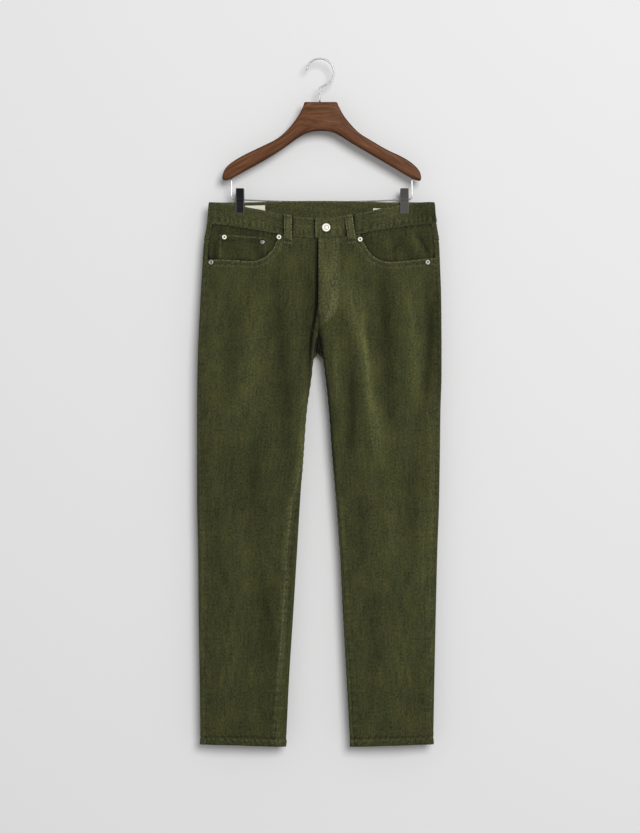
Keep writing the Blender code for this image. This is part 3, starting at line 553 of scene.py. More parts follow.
def mouth_distance(leg, x, z):
    """Distance from the pocket mouth's edge, and the way along it."""
    line = MOUTH_LINES[leg]
    gap = np.linalg.norm(np.stack([x, z], -1)[..., None, :] - line, axis=-1)
    step = np.linalg.norm(line[1] - line[0])
    return gap.min(-1), gap.argmin(-1) * step


FLY_X = -6 * MM  # where the fly's stitching ends at the centre
FLY_WIDTH = 39 * MM
FLY_BEND = -468 * MM  # where it leaves the straight
FLY_ROUND = 52 * MM  # the height of its curve


def fly_line(z):
    """x of the fly's curved stitching: straight down, then a quarter of an ellipse in to the centre."""
    down = np.clip((FLY_BEND - z) / FLY_ROUND, 0, 1)
    return FLY_X + FLY_WIDTH * np.sqrt(1 - down**2)


# Button and rivets: x, z and radius of each stud, mm
STUDS = {
    "waist_button": (12, -332.5, 8.8),
    "rivet_coin_outer": (-187.2, -349.5, 5.1),
    "rivet_coin_inner": (-112.3, -360.3, 4.7),
    "rivet_mouth_right_inner": (-80, -351, 5.1),
    "rivet_mouth_right_outer": (-213, -398.7, 5.1),
    "rivet_mouth_left_inner": (78, -355.5, 5.1),
    "rivet_mouth_left_outer": (210.5, -399, 5.1),
}


def pressed_rims(point):
    """1 on the cloth round each stud, for a painted shadow ring, falling off as a bell outside its rim."""
    total = np.zeros(point.shape[:-1])
    for x, z, radius in STUDS.values():
        gap = np.hypot(point[..., 0] - x * MM, point[..., 2] - z * MM) - radius * MM
        total += bell(np.maximum(gap, 0), 1.6 * MM)
    return total


YOKE_SIDE = -352 * MM
YOKE_CENTRE = -388 * MM


def yoke_edge(share):
    """Level of the seam between a yoke and its back panel, falling evenly from side to centre."""
    return YOKE_SIDE + (YOKE_CENTRE - YOKE_SIDE) * share


def panel_relief(leg, part, share, level, point):
    """What sewing does to the cloth, as heights along its normal: the layers (seam allowances, turned
    hem and pocket mouth, the fly's lap) and, apart from them, grooves at seams and stitches and the
    short puckers along all of them."""
    x, z = point[..., 0], point[..., 2]
    run, width = cloth_run(leg, part, share, level)
    from_in, from_hem, from_waist = width - run, level - HEM, WAIST_SEAM - level
    below = 1 - smooth_step(CROTCH - 10 * MM, CROTCH + 4 * MM, level)
    sag = np.sin(level / (41 * MM)) + np.sin(level / (17.3 * MM) + 1)
    fly = smooth_step(FLY_END - 10 * MM, FLY_END + 14 * MM, z)
    joined = 1 if part == "back" else np.maximum(below, 1 - fly)
    # outseam, inseam and seat seam
    fine = -0.8 * bell(run, 1.8 * MM) - 0.8 * bell(from_in, 1.8 * MM) * joined
    fine += 0.24 * bell(run - 5 * MM, 6 * MM) * np.sin(level / (2.6 * MM) - sag)
    fine += 0.4 * bell(from_in - 4 * MM, 6 * MM) * np.sin(level / (2.7 * MM) + sag) * joined
    # hem
    ripple = np.sin(run / (1.9 * MM) + 1.3 * np.sin(run / (13 * MM)) + from_hem / (3 * MM))
    layers = 0.95 * (1 - smooth_step(11 * MM, 14.5 * MM, from_hem))
    fine -= 0.5 * bell(from_hem - 14 * MM, 1.6 * MM)
    fine += (0.4 * bell(from_hem - 8 * MM, 8 * MM) + 0.3 * bell(from_hem - 20 * MM, 6 * MM)) * ripple
    if part == "back":
        layers += 0.5 * (1 - smooth_step(6 * MM, 8.5 * MM, run))
        layers += 0.6 * (1 - smooth_step(6.5 * MM, 8.5 * MM, from_in))
        edge = yoke_edge(share) - level
        fine -= 0.9 * bell(edge, 1.8 * MM) * smooth_step(-1 * MM, 0, edge)
        fine += 0.3 * bell(edge - 4 * MM, 6 * MM) * np.sin(run / (1.8 * MM) + np.sin(run / (11 * MM)))
        return layers * MM, fine * MM
    # waist seam
    fine -= 1.2 * bell(from_waist, 2.6 * MM)
    fine += 0.4 * bell(from_waist - 3 * MM, 8 * MM) * np.sin(x / (1.55 * MM) + 1.6 * np.sin(x / (9 * MM)))
    # pocket mouth
    gap, along = mouth_distance(leg, x, z)
    layers += 0.75 * (1 - smooth_step(6.5 * MM, 9.5 * MM, gap))
    fine -= 0.35 * bell(gap - 2.4 * MM, 1.1 * MM) + 0.45 * bell(gap - 9.5 * MM, 1.4 * MM)
    fine += 0.35 * bell(gap - 6 * MM, 4.5 * MM) * np.sin(along / (1.5 * MM) + np.sin(along / (8 * MM)))
    # the left front's lap at the fly, and the right front pressed down beside it
    if leg == "left":
        lap, from_stitch = x - CENTRE_X, x - fly_line(z)
        raised = 3.6 - 1.0 * smooth_step(1 * MM, 10 * MM, lap) - 1.5 * smooth_step(8 * MM, 26 * MM, lap)
        layers += fly * (1 - smooth_step(-1.5 * MM, 1.5 * MM, from_stitch)) * raised
        fine -= 0.45 * fly * (bell(from_stitch, 1.2 * MM) + bell(from_stitch + 6 * MM, 1.2 * MM))
        fine += 0.35 * fly * bell(from_stitch + 3 * MM, 4 * MM) * np.sin(z / (1.8 * MM))
        fine += 0.5 * fly * bell(lap - 1 * MM, 7 * MM) * np.sin(z / (31 * MM) + 0.5)
    else:
        layers -= fly * 1.2 * bell(np.maximum(-3 * MM - x, 0), 11 * MM)
    return layers * MM, fine * MM


def nap_tone(leg, part, share, level, point, normal):
    """Painted light and shade on the nap, apart from what folds and seams do: painted highlights and
    shade along the lines, painted shade at the hem's edge and its stitching, round the studs, in the
    hollow behind the crotch and along the left leg's inner fold, a painted shadow beside the fly's
    lap, and the right leg painted darker below the knee. The left leg is a little darker towards the
    hem and the fly's lap a little lighter."""
    x, z = point[..., 0], point[..., 2]
    tone = (1 if part == "front" else 0.3) * soft_folds(NAP_LINES, x, z) / MM
    tone -= 0.8 * bell(level - HEM, 1.8 * MM) + 1.2 * bell(level - HEM - 15 * MM, 1.6 * MM)
    if part == "back":
        # painted shade in the hollow behind the crotch, strongest where the cloth faces forward
        hollow = smooth_step(-590 * MM, -576 * MM, level) * smooth_step(CROTCH + 12 * MM, CROTCH, level)
        hollow = hollow * (0.4 + 2.4 * smooth_step(0.7, 0.2, normal[..., 1]))
        return tone - hollow * bell(x - CENTRE_X, 24 * MM)
    # a painted shadow ring round each stud
    tone -= 1.6 * pressed_rims(point)
    lower = smooth_step(-700 * MM, -820 * MM, level)
    fly = smooth_step(FLY_END - 22 * MM, FLY_END + 6 * MM, z)
    if leg == "right":
        # painted shade: the right leg darker below the knee, and a painted shadow beside the fly's lap
        return tone - 0.26 * lower - 0.3 * fly * bell(x + 12 * MM, 11 * MM)
    run, width = cloth_run(leg, part, share, level)
    thigh = smooth_step(-760 * MM, -600 * MM, level) * smooth_step(CROTCH + 8 * MM, CROTCH - 12 * MM, level)
    tone += 0.04 * lower - 0.2 * smooth_step(-1000 * MM, -1280 * MM, level)
    # painted shade along the left leg's inner fold below the crotch
    tone -= 2.1 * thigh * bell(np.maximum(width - run - 3 * MM, 0), 5 * MM)
    return tone + 0.16 * fly * (1 - smooth_step(0, 14 * MM, x - fly_line(z)))


def panel_faces(leg, part, share, level, extra=0.0):
    """The outer and inner face of a panel: the form, moved by the folds and by the sewing's relief, with
    extra layers on top. The third grid is its painted shading: above 0 where a ridge or a raised layer
    is painted with a highlight, below 0 where troughs, grooves and painted shadows darken it."""
    turn = turn_at(leg, part, share, level)
    here, normal = cloth_form(leg, level, turn), form_normal(leg, level, turn)
    layers, fine = panel_relief(leg, part, share, level, here)
    folds, shift = fold_height(here, normal)
    # painted light and shade: the folds' ridges and the sewing's raised layers lighter, troughs and grooves
    # darker
    tone = folds / (3 * MM) + 0.9 * fine / MM + nap_tone(leg, part, share, level, here, normal)
    relief = (layers + fine + extra)[..., None]
    return here + shift + normal * relief, here + shift + normal * (relief - CLOTH_WALL), tone


def add_object(name, points, faces, materials=()):
    """A smooth mesh object from an array of points and a list of faces."""
    mesh = bpy.data.meshes.new(name)
    mesh.from_pydata(points.tolist(), [], [tuple(face) for face in faces])
    mesh.shade_smooth()
    for material in materials:
        mesh.materials.append(material)
    piece = bpy.data.objects.new(name, mesh)
    scene.collection.objects.link(piece)
    return piece


def lay_fields(piece, uv_name, flat, **fields):
    """Gives a mesh a UV map, from one flat place in metres for each point, and its point attributes."""
    mesh = piece.data
    corners = np.zeros(len(mesh.loops), np.int32)
    mesh.loops.foreach_get("vertex_index", corners)
    layer = mesh.uv_layers.new(name=uv_name)
    layer.data.foreach_set("uv", flat[corners].astype(np.float32).ravel())
    for name, values in fields.items():
        mesh.attributes.new(name, "FLOAT", "POINT").data.foreach_set("value", values.astype(np.float32))


def cloth_shell(name, outer, inner, along, down, rub=0.0, tone=0.0):
    """A closed piece of cloth from two grids of points: both faces, and a rim rounded by a row of
    points between them that stands out by under half the wall. along and down are the cloth's own
    coordinates in metres, the wales running down. The edge mask is 1 where an edge is worn light and
    painted with a highlight; the painted shading, from -1 dark to 1 light, is painted light and shade."""
    rows, columns = outer.shape[:2]
    count = rows * columns
    index = np.arange(count).reshape(rows, columns)
    rim = np.concatenate([index[0, ::-1], index[1:, 0], index[-1, 1:], index[-2:0:-1, -1]])
    i, j = np.divmod(rim, columns)
    inside = np.clip(i, 1, rows - 2) * columns + np.clip(j, 1, columns - 2)
    face, lining = outer.reshape(-1, 3), inner.reshape(-1, 3)
    outwards = unit(face[rim] - face[inside])
    wall = np.linalg.norm(face[rim] - lining[rim], axis=1, keepdims=True)
    middle = (face[rim] + lining[rim]) / 2 + outwards * wall * 0.4
    quads = np.stack([index[:-1, :-1], index[1:, :-1], index[1:, 1:], index[:-1, 1:]], axis=-1).reshape(-1, 4)
    ring = 2 * count + np.arange(len(rim))
    after, ring_after = np.roll(rim, -1), np.roll(ring, -1)
    sides = [
        np.stack([after, rim, ring, ring_after], axis=-1),
        np.stack([ring_after, ring, rim + count, after + count], axis=-1),
    ]
    faces = np.concatenate([quads, quads[:, ::-1] + count, *sides])
    a, b, c = face[quads[:, 0]], face[quads[:, 1]], face[quads[:, 2]]
    if (np.cross(b - a, c - a) * (face - lining)[quads[:, 0]]).sum() < 0:
        faces = faces[:, ::-1]
    piece = add_object(name, np.concatenate([face, lining, middle]), faces.tolist())
    fields = (along, down, rub, tone)
    along, down, rub, tone = (np.broadcast_to(field, (rows, columns)).ravel() for field in fields)
    flat = np.stack([along, down], axis=1)
    lay_fields(
        piece,
        "cloth",
        np.concatenate([flat, flat, flat[rim]]),
        rub=np.concatenate([rub, rub, rub[rim]]),
        tone=np.concatenate([tone, 0 * tone, tone[rim]]),
    )
    return piece


# Corduroy
# Fine-wale olive cotton cord: rows of cut pile every 1.6 mm with the ground weave between them, the
# nap lying unevenly and streaked down the cloth. Every sewn edge is worn lighter and painted with a
# highlight; painted light and shade from each piece's mesh lightens its ridges and darkens its
# troughs, creases, hollows and painted shadows.

WALE_PITCH = 1.6 * MM


def new_group(name, inputs, outputs):
    """An empty shader node group whose sockets have these names and kinds, and their two ends."""
    group = bpy.data.node_groups.new(name, "ShaderNodeTree")
    for way, sockets in (("INPUT", inputs), ("OUTPUT", outputs)):
        for label, kind in sockets.items():
            group.interface.new_socket(label, in_out=way, socket_type="NodeSocket" + kind)
    return group, group.nodes.new("NodeGroupInput").outputs, group.nodes.new("NodeGroupOutput").inputs


def feed(tree, socket, value):
    """Sets a socket, or links it where value is another node's output. Colours are red, green, blue."""
    if isinstance(value, bpy.types.NodeSocket):
        tree.links.new(value, socket)
    else:
        socket.default_value = (*value, 1) if socket.type == "RGBA" else value


def place_group(tree, group, **values):
    """A group in a material, with its own values; gives the group's outputs."""
    node = tree.nodes.new("ShaderNodeGroup")
    node.node_tree = group
    for label, value in values.items():
        feed(tree, node.inputs[label], value)
    return node.outputs


def maths(tree, operation, *values):
    """The result of one of Blender's maths operations."""
    node = tree.nodes.new("ShaderNodeMath")
    node.operation = operation
    for socket, value in zip(node.inputs, values):
        feed(tree, socket, value)
    return node.outputs[0]


def swing(tree, field, strength, middle=0.5):
    """How far a field lies above or below its middle, times strength."""
    return maths(tree, "MULTIPLY", maths(tree, "SUBTRACT", field, middle), strength)


def noise(tree, where, scale, detail=2.0, roughness=0.5):
    """A noise value: alike all ways, or drawn out where scale gives a number for each way."""
    if not isinstance(scale, (int, float)):
        drawn = tree.nodes.new("ShaderNodeVectorMath")
        drawn.operation = "MULTIPLY"
        feed(tree, drawn.inputs[0], where)
        feed(tree, drawn.inputs[1], scale)
        where, scale = drawn.outputs[0], 1.0
    node = tree.nodes.new("ShaderNodeTexNoise")
    for label, value in (("Vector", where), ("Scale", scale), ("Detail", detail), ("Roughness", roughness)):
        feed(tree, node.inputs[label], value)
    return node.outputs["Fac"]


def blend_colours(tree, share, low, high, kind="MIX"):
    """Two colours mixed by a share. The node's sockets 6, 7 and 2 are those for colours."""
    node = tree.nodes.new("ShaderNodeMix")
    node.data_type = "RGBA"
    node.blend_type = kind
    for socket, value in zip((node.inputs[0], node.inputs[6], node.inputs[7]), (share, low, high)):
        feed(tree, socket, value)
    return node.outputs[2]


def times(tree, colour, value):
    """A colour with its red, green and blue multiplied by a value."""
    grey = tree.nodes.new("ShaderNodeCombineColor")
    for socket in grey.inputs:
        feed(tree, socket, value)
    return blend_colours(tree, 1.0, colour, grey.outputs[0], "MULTIPLY")


def cord_group():
    """Wales: the absolute sine across the cloth, to a power that rounds the ridges and sharpens the
    grooves. Nap: noises of four sizes and two streaks drawn out down the cloth. Painted light and
    shade scale its brightness, and the worn, painted-highlit edges blend towards a lighter colour."""
    group, given, made = new_group(
        "corduroy nap",
        {
            "Cloth": "Vector", "Rub": "Float", "Tone": "Float", "Pitch": "Float",
            "Nap": "Color", "Ground": "Color", "Worn": "Color",
        },
        {"Color": "Color", "Height": "Float"},
    )
    cloth = given["Cloth"]
    parts = group.nodes.new("ShaderNodeSeparateXYZ")
    feed(group, parts.inputs[0], cloth)
    wander = maths(group, "MULTIPLY", noise(group, cloth, (30, 12, 1), 1.0), 1.6 * MM)
    across = maths(group, "ADD", parts.outputs[0], wander)
    phase = maths(group, "MULTIPLY", maths(group, "DIVIDE", across, given["Pitch"]), math.pi)
    ridge = maths(group, "POWER", maths(group, "ABSOLUTE", maths(group, "SINE", phase)), 0.65)
    tuft = noise(group, cloth, (1900, 1300, 1), 2.0, 0.6)
    grain = noise(group, cloth, (330, 240, 1), 2.0, 0.6)
    streak = noise(group, cloth, (260, 22, 1), 2.0, 0.6)
    band = noise(group, cloth, (40, 9, 1), 2.0, 0.5)
    cloud = noise(group, cloth, (34, 22, 1), 4.0, 0.65)
    # painted light and shade: the brightness is scaled by the mesh's painted shading, never below 8 %
    lie = maths(group, "MAXIMUM", maths(group, "MULTIPLY_ADD", given["Tone"], 0.4, 1.0), 0.08)
    shade = 1.0
    for field, strength in ((tuft, 0.6), (grain, 2.1), (streak, 1.0), (band, 0.25), (cloud, 0.8)):
        shade = maths(group, "ADD", swing(group, field, strength), shade)
    mottle = swing(group, grain, given["Rub"])
    shade = maths(group, "MULTIPLY", lie, maths(group, "MULTIPLY_ADD", mottle, 3.0, shade))
    colour = blend_colours(group, ridge, given["Ground"], given["Nap"])
    warmer = blend_colours(group, 1.0, colour, (1.2, 1.03, 0.8), "MULTIPLY")
    colour = blend_colours(group, swing(group, cloud, 2.2, 0.45), colour, warmer)
    # worn edges, partly a painted highlight: blended towards the lighter colour
    worn = maths(group, "MULTIPLY", given["Rub"], maths(group, "ADD", tuft, 0.35))
    colour = blend_colours(group, worn, colour, given["Worn"])
    feed(group, made["Color"], times(group, colour, shade))
    pile = swing(group, tuft, 0.22)
    feed(group, made["Height"], maths(group, "ADD", maths(group, "MULTIPLY", ridge, 0.3), pile))
    return group


def new_material(name, roughness, metallic=0.0, **plain):
    """A Principled material with its uniform values set on the shader's own sockets."""
    material = bpy.data.materials.new(name)
    material.use_nodes = True
    tree = material.node_tree
    shader = tree.nodes["Principled BSDF"]
    for label, value in dict(plain, Roughness=roughness, Metallic=metallic).items():
        feed(tree, shader.inputs[label.replace("_", " ")], value)
    return material, tree, shader


def bump(tree, shader, height, distance):
    """Bends a shader's normal by a height, whose 1 stands for distance."""
    node = tree.nodes.new("ShaderNodeBump")
    feed(tree, node.inputs["Strength"], 1.0)
    feed(tree, node.inputs["Distance"], distance)
    feed(tree, node.inputs["Height"], height)
    feed(tree, shader.inputs["Normal"], node.outputs[0])


def uv_place(tree, name):
    """The coordinates of a UV map."""
    node = tree.nodes.new("ShaderNodeUVMap")
    node.uv_map = name
    return node.outputs[0]


def point_value(tree, name):
    """The value of an attribute of the mesh's points."""
    node = tree.nodes.new("ShaderNodeAttribute")
    node.attribute_name = name
    return node.outputs["Fac"]


corduroy, tree, shader = new_material(
    "corduroy",
    0.88,
    Sheen_Weight=0.16,
    Sheen_Roughness=0.45,
    Sheen_Tint=(0.62, 0.64, 0.42),
    Specular_IOR_Level=0.12,
)
nap = place_group(
    tree,
    cord_group(),
    Cloth=uv_place(tree, "cloth"),
    Rub=point_value(tree, "rub"),
    Tone=point_value(tree, "tone"),
    Pitch=WALE_PITCH,
    Nap=(0.0562, 0.0615, 0.0223),
    Ground=(0.0222, 0.025, 0.0093),
    Worn=(0.121, 0.122, 0.059),
)
feed(tree, shader.inputs["Base Color"], nap["Color"])
bump(tree, shader, nap["Height"], MM)


def fit(piece, node):
    """Attaches a piece to the root body and hides the CAD part that it stands for."""
    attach(piece, "root")
    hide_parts(node)


def finish_cloth(piece, node, material=corduroy):
    """Gives a piece of cloth its material, attaches it to the root body and hides the CAD part that it
    stands for.
    """
    piece.data.materials.append(material)
    fit(piece, node)


# Front panels
# One piece for each leg from the waist seam to the hem. The pocket mouth is scooped out of its top
# corner, its edge turned and stitched twice; the left one laps over the right one at the fly.

EDGE_STEPS = np.array([0, 0.8, 1.8, 3.0, 4.5, 6.3, 8.3, 10.6, 13.2]) * MM
MID_THIGH = -600 * MM


def edge_spaced(length, step, first, last):
    """Distances from 0 to length: the first so many of EDGE_STEPS, then evenly by about step, then the
    last so many of EDGE_STEPS turned round."""
    first, last = EDGE_STEPS[:first], EDGE_STEPS[:last]
    count = max(2, round((length - first[-1] - last[-1]) / step) + 1)
    between = np.linspace(first[-1], length - last[-1], count)
    return np.concatenate([first[:-1], between, (length - last[:-1])[::-1]])


def edge_shares(length, step, first, last):
    """The same as shares of the length."""
    return edge_spaced(length, step, first, last) / length


# Columns of points across each panel, as shares of a usual width
PANEL_COLUMNS = {
    "front": edge_shares(232 * MM, 3.0 * MM, 5, 5),
    "back": edge_shares(262 * MM, 3.0 * MM, 5, 5),
}


def panel_net(part, upper_share, upper_level, start):
    """Shares and levels of a panel's points: the given upper rows, then even columns from the level
    start straight down to the hem."""
    columns = PANEL_COLUMNS[part]
    lower = start - edge_spaced(start - HEM, 3.1 * MM, 1, 9)[1:, None]
    shape = (len(lower), len(columns))
    upper_share = np.broadcast_to(upper_share, upper_level.shape)
    share = np.vstack([upper_share, np.broadcast_to(columns, shape)])
    return share, np.vstack([upper_level, np.broadcast_to(lower, shape)])


def front_net(leg):
    """Shares and levels of the front panel's points. Its top row runs down the pocket mouth and along
    the waist seam, evenly by length; the columns run from there straight to even shares at mid thigh,
    then down to the hem."""
    columns, line = PANEL_COLUMNS["front"], MOUTH_LINES[leg]
    level = level_through(leg, "front", line[:, 0], line[:, 1])
    share = share_through(leg, line[:, 0], level)
    keep = (level < WAIST_SEAM - GAP) & (share > 0)
    level, share = level[keep], share[keep]
    waist = np.linspace(1, share[0], 60)
    share = np.concatenate([waist, share, [0]])
    level = np.concatenate([np.full(len(waist), WAIST_SEAM - GAP), level, level[-1:]])
    run = run_along(cloth_form(leg, level, turn_at(leg, "front", share, level)))
    at = (1 - columns) * run[-1]
    top_share, top_level = np.interp(at, run, share), np.interp(at, run, level)
    down = edge_shares(235 * MM, 3.0 * MM, 9, 1)[:, None]
    upper_share = top_share + (columns - top_share) * down
    return panel_net("front", upper_share, top_level + (MID_THIGH - top_level) * down, MID_THIGH)


for leg in ("right", "left"):
    share, level = front_net(leg)
    outer, inner, tone = panel_faces(leg, "front", share, level)
    run, width = cloth_run(leg, "front", share, level)
    x, z, from_hem = outer[..., 0], outer[..., 2], level - HEM
    gap, _ = mouth_distance(leg, x, z)
    # worn edges, partly a painted highlight: the pocket mouth and its stitching, the hem and its stitching,
    # the outseam, the inseam and the fly
    rub = 0.95 * bell(gap, 2.2 * MM) + 0.5 * bell(gap - 10.5 * MM, 1.6 * MM)
    rub += 0.1 * bell(from_hem, 2.5 * MM) + 0.5 * bell(from_hem - 12 * MM, 1.6 * MM)
    inseam = bell(width - run, 2.6 * MM) * smooth_step(CROTCH - 8 * MM, CROTCH - 50 * MM, level)
    rub += 0.3 * bell(run, 2.2 * MM) + (0.7 if leg == "right" else 0.1) * inseam
    if leg == "left":
        fly = smooth_step(FLY_END - 10 * MM, FLY_END, z)
        from_stitch = x - fly_line(z)
        curved = 0.25 + 0.35 * smooth_step(-430 * MM, -475 * MM, z)
        curved = curved * smooth_step(-524 * MM, -514 * MM, z)
        rub += curved * (bell(from_stitch, 2 * MM) + bell(from_stitch + 7 * MM, 2 * MM))
        rub += fly * (0.5 * bell(x - CENTRE_X, 2.5 * MM) + 0.16 * (1 - smooth_step(0, 10 * MM, from_stitch)))
    piece = cloth_shell(f"front_{leg}", outer, inner, run - width / 2, level, rub, tone)
    finish_cloth(piece, f"front_panel_{leg}")


# Yokes and back panels
# The back is shaped by a yoke on each side, lapped over the back panel and stitched twice. The panels
# wrap round both folds of the leg to the outseam and the inseam, and meet in the seat seam.

YOKE_ROWS = 22
YOKE_LAYER = 0.6 * MM  # what the yoke's turned edge adds
YOKE_MIDDLE = 125 * MM
SEAT = -420 * MM

for leg in ("right", "left"):
    columns = PANEL_COLUMNS["back"]
    edge = yoke_edge(columns)
    down = np.linspace(0, 1, YOKE_ROWS)[:, None]
    share = np.broadcast_to(columns, (YOKE_ROWS, len(columns)))
    level = (WAIST_SEAM - GAP) * (1 - down) + edge * down
    from_edge = level - edge
    extra = YOKE_LAYER * (1 - smooth_step(8 * MM, 11 * MM, from_edge))
    outer, inner, tone = panel_faces(leg, "back", share, level, extra)
    run, _ = cloth_run(leg, "back", share, level)
    # worn edges, partly a painted highlight: the yoke's seam and the outseam
    rub = 0.6 * bell(from_edge, 2.2 * MM) + 0.25 * bell(run, 2 * MM)
    piece = cloth_shell(f"yoke_{leg}", outer, inner, run - YOKE_MIDDLE, level, rub, tone)
    finish_cloth(piece, f"back_yoke_{leg}")

    first = edge - 0.7 * MM
    share, level = panel_net("back", columns, first + (SEAT - first) * np.linspace(0, 1, 15)[:, None], SEAT)
    outer, inner, tone = panel_faces(leg, "back", share, level)
    run, width = cloth_run(leg, "back", share, level)
    from_hem = level - HEM
    # worn edges, partly a painted highlight: the hem and its stitching, the outseam and the inseam
    rub = 0.1 * bell(from_hem, 2.5 * MM) + 0.5 * bell(from_hem - 12 * MM, 1.6 * MM)
    rub += 0.35 * bell(run, 2.2 * MM) + 0.3 * bell(width - run, 2.2 * MM)
    piece = cloth_shell(f"back_{leg}", outer, inner, run - width / 2, level, rub, tone)
    finish_cloth(piece, f"back_panel_{leg}")


# Front pockets
# A facing of the same cord closes each mouth from behind. The right one carries the coin pocket, whose
# top edge is turned and stitched twice like the mouths.


def lifted(leg, side, x, level, lift, waves=1.0):
    """Points over the cloth at x on a level, moved out along the form's normal by lift."""
    here = on_cloth(leg, side, x, level)
    beside, above = on_cloth(leg, side, x + MM, level), on_cloth(leg, side, x, level + MM)
    normal = unit(np.cross(beside - here, above - here)) * (1 if side == "front" else -1)
    return here + fold_height(here, normal, waves)[1] + normal * np.asarray(lift)[..., None]


def patch_faces(leg, side, x, level, lift, wall, waves=1.0):
    """Both faces of a patch that lies on the cloth: the outer one at lift, the inner one below it."""
    return lifted(leg, side, x, level, lift, waves), lifted(leg, side, x, level, lift - wall, waves)


def patch_net(x0, x1, top, bottom, step):
    """x and level of a patch's points, closer together at its edges."""
    x = x0 + edge_spaced(x1 - x0, step, 4, 4)
    level = top - edge_spaced(top - bottom, step, 4, 4)
    return np.broadcast_arrays(x[None, :], level[:, None])


def facing_lift(x, level):
    """A facing leaves the waist seam nearly flush and sinks under the mouth's edge."""
    down = 1 - smooth_step(WAIST_SEAM - 55 * MM, WAIST_SEAM, level)
    inwards = 1 - smooth_step(84 * MM, 111.5 * MM, np.abs(x))
    deepest = CLOTH_WALL + 2 * LOOSE_GAP + TRIM_WALL
    return -(GAP + (deepest - GAP) * np.maximum(down, inwards))


# Creases in the facings, mm: height, half width, line
FACING_FOLDS = (
    (-1.0, 4, ((188, -335), (198, -352), (208, -372), (216, -394))),
    (0.8, 5, ((180, -340), (188, -360), (196, -385))),
    (-0.7, 6, ((150, -350), (146, -375), (150, -405))),
    (-0.9, 5, ((-204, -345), (-206, -370), (-204, -400))),
)


def facing_relief(x, level):
    """Creases, the seam under the waistband with its puckers, and a slight slackness."""
    gather = np.sin(x / (1.6 * MM) + 1.4 * np.sin(x / (8 * MM)))
    height = soft_folds(FACING_FOLDS, x, level)
    height += 0.3 * MM * bell(WAIST_SEAM - level - 2 * MM, 7 * MM) * gather
    slack = np.sin(x / (9 * MM) + level / (14 * MM)) * smooth_step(WAIST_SEAM, WAIST_SEAM - 20 * MM, level)
    return height + 0.25 * MM * slack


for leg, inner_x in (("right", -58 * MM), ("left", 58 * MM)):
    across = edge_shares(155 * MM, 2.6 * MM, 4, 4)
    level = WAIST_SEAM - 0.4 * MM - edge_spaced(101.6 * MM, 2.6 * MM, 4, 4)
    share = share_through(leg, np.full(level.shape, inner_x), level)[:, None] * across
    level = np.broadcast_to(level[:, None], share.shape)
    turn = turn_at(leg, "front", share, level)
    here, normal = cloth_form(leg, level, turn), form_normal(leg, level, turn)
    x = here[..., 0]
    run, _ = cloth_run(leg, "front", share, level)
    flush = (1 - smooth_step(2 * MM, 16 * MM, run)) * smooth_step(-396 * MM, -372 * MM, level)
    creases = facing_relief(x, level)
    lift = facing_lift(x, level) * (1 - flush) - 0.1 * MM * flush + creases - 0.7 * MM * bell(run, 1.8 * MM)
    gap, _ = mouth_distance(leg, x, here[..., 2])
    # painted shade: the facing is darker all over, as it lies recessed, and darker still under the mouth's
    # edge, at its outer edge and under the waistband; its creases are painted lighter and darker. Its outer
    # edge is worn lighter, partly a painted highlight.
    tone = 1.1 * creases / MM - 0.9 * bell(gap, 5 * MM) - 1.2 * bell(run, 2 * MM)
    tone = tone - 0.8 * bell(WAIST_SEAM - level, 4 * MM) - (0.7 if leg == "right" else 0.5)
    outer, inner = here + normal * lift[..., None], here + normal * (lift - TRIM_WALL)[..., None]
    piece = cloth_shell(f"facing_{leg}", outer, inner, x, level, 0.3 * bell(run, 2 * MM), tone)
    finish_cloth(piece, f"pocket_facing_{leg}")


COIN_SIDES = (-196.5 * MM, -105.5 * MM)
COIN_TOP = -340 * MM


def coin_level(x, from_top):
    """Levels down the coin pocket from its top edge, which runs nearly level across the dipping form."""
    tilt = -4 * MM + 6 * MM * (x - COIN_SIDES[0]) / (91 * MM)
    return COIN_TOP - from_top + tilt * (1 - from_top / (70 * MM))


def coin_face(x, level):
    """How far the coin pocket's outer face stands off the form: it lies on the facing."""
    return facing_lift(x, level) + facing_relief(x, level) + GAP + TRIM_WALL


x, level = patch_net(*COIN_SIDES, COIN_TOP, COIN_TOP - 70 * MM, 2.2 * MM)
from_top = COIN_TOP - level
level = coin_level(x, from_top)
from_side = np.minimum(x - COIN_SIDES[0], COIN_SIDES[1] - x)
hem = 0.5 * (1 - smooth_step(7 * MM, 10 * MM, from_top)) - 0.3 * bell(from_top - 2.2 * MM, MM)
pucker = bell(from_top - 5 * MM, 4 * MM) * np.sin(x / (1.5 * MM))
hem = hem - 0.3 * bell(from_top - 8.6 * MM, MM) + 0.2 * pucker
lift = coin_face(x, level) + hem * MM - 0.3 * MM * bell(from_side - 2 * MM, MM)
outer, inner = patch_faces("right", "front", x, level, lift, hem * MM + TRIM_WALL, 0.3)
# worn edges along its top and sides, partly a painted highlight
rub = 0.8 * bell(from_top, 1.8 * MM) + 0.4 * bell(from_side, 1.8 * MM)
gap, _ = mouth_distance("right", outer[..., 0], outer[..., 2])
# painted shade: darker all over, as it lies on the recessed facing, and darker still under the mouth's edge,
# in its lower row of stitching and round the rivets; the creases painted lighter and darker
tone = -0.5 - 0.9 * bell(gap, 5 * MM) - 0.8 * bell(from_top - 8.6 * MM, 1.6 * MM)
tone = tone + 1.1 * facing_relief(x, level) / MM - 1.3 * pressed_rims(outer)
piece = cloth_shell("coin_pocket_patch", outer, inner, x, level, rub, tone)
finish_cloth(piece, "coin_pocket")


# Back pockets
# A patch on each back panel, its top edge turned in, its lower edge brought to a blunt point, stitched
# round twice.

BACK_POCKETS = {"right": (-172, -42, -408, -550), "left": (36, 166, -408, -550)}
POCKET_WIDTH, POCKET_HEIGHT, POCKET_POINT = 130 * MM, 142 * MM, 18 * MM


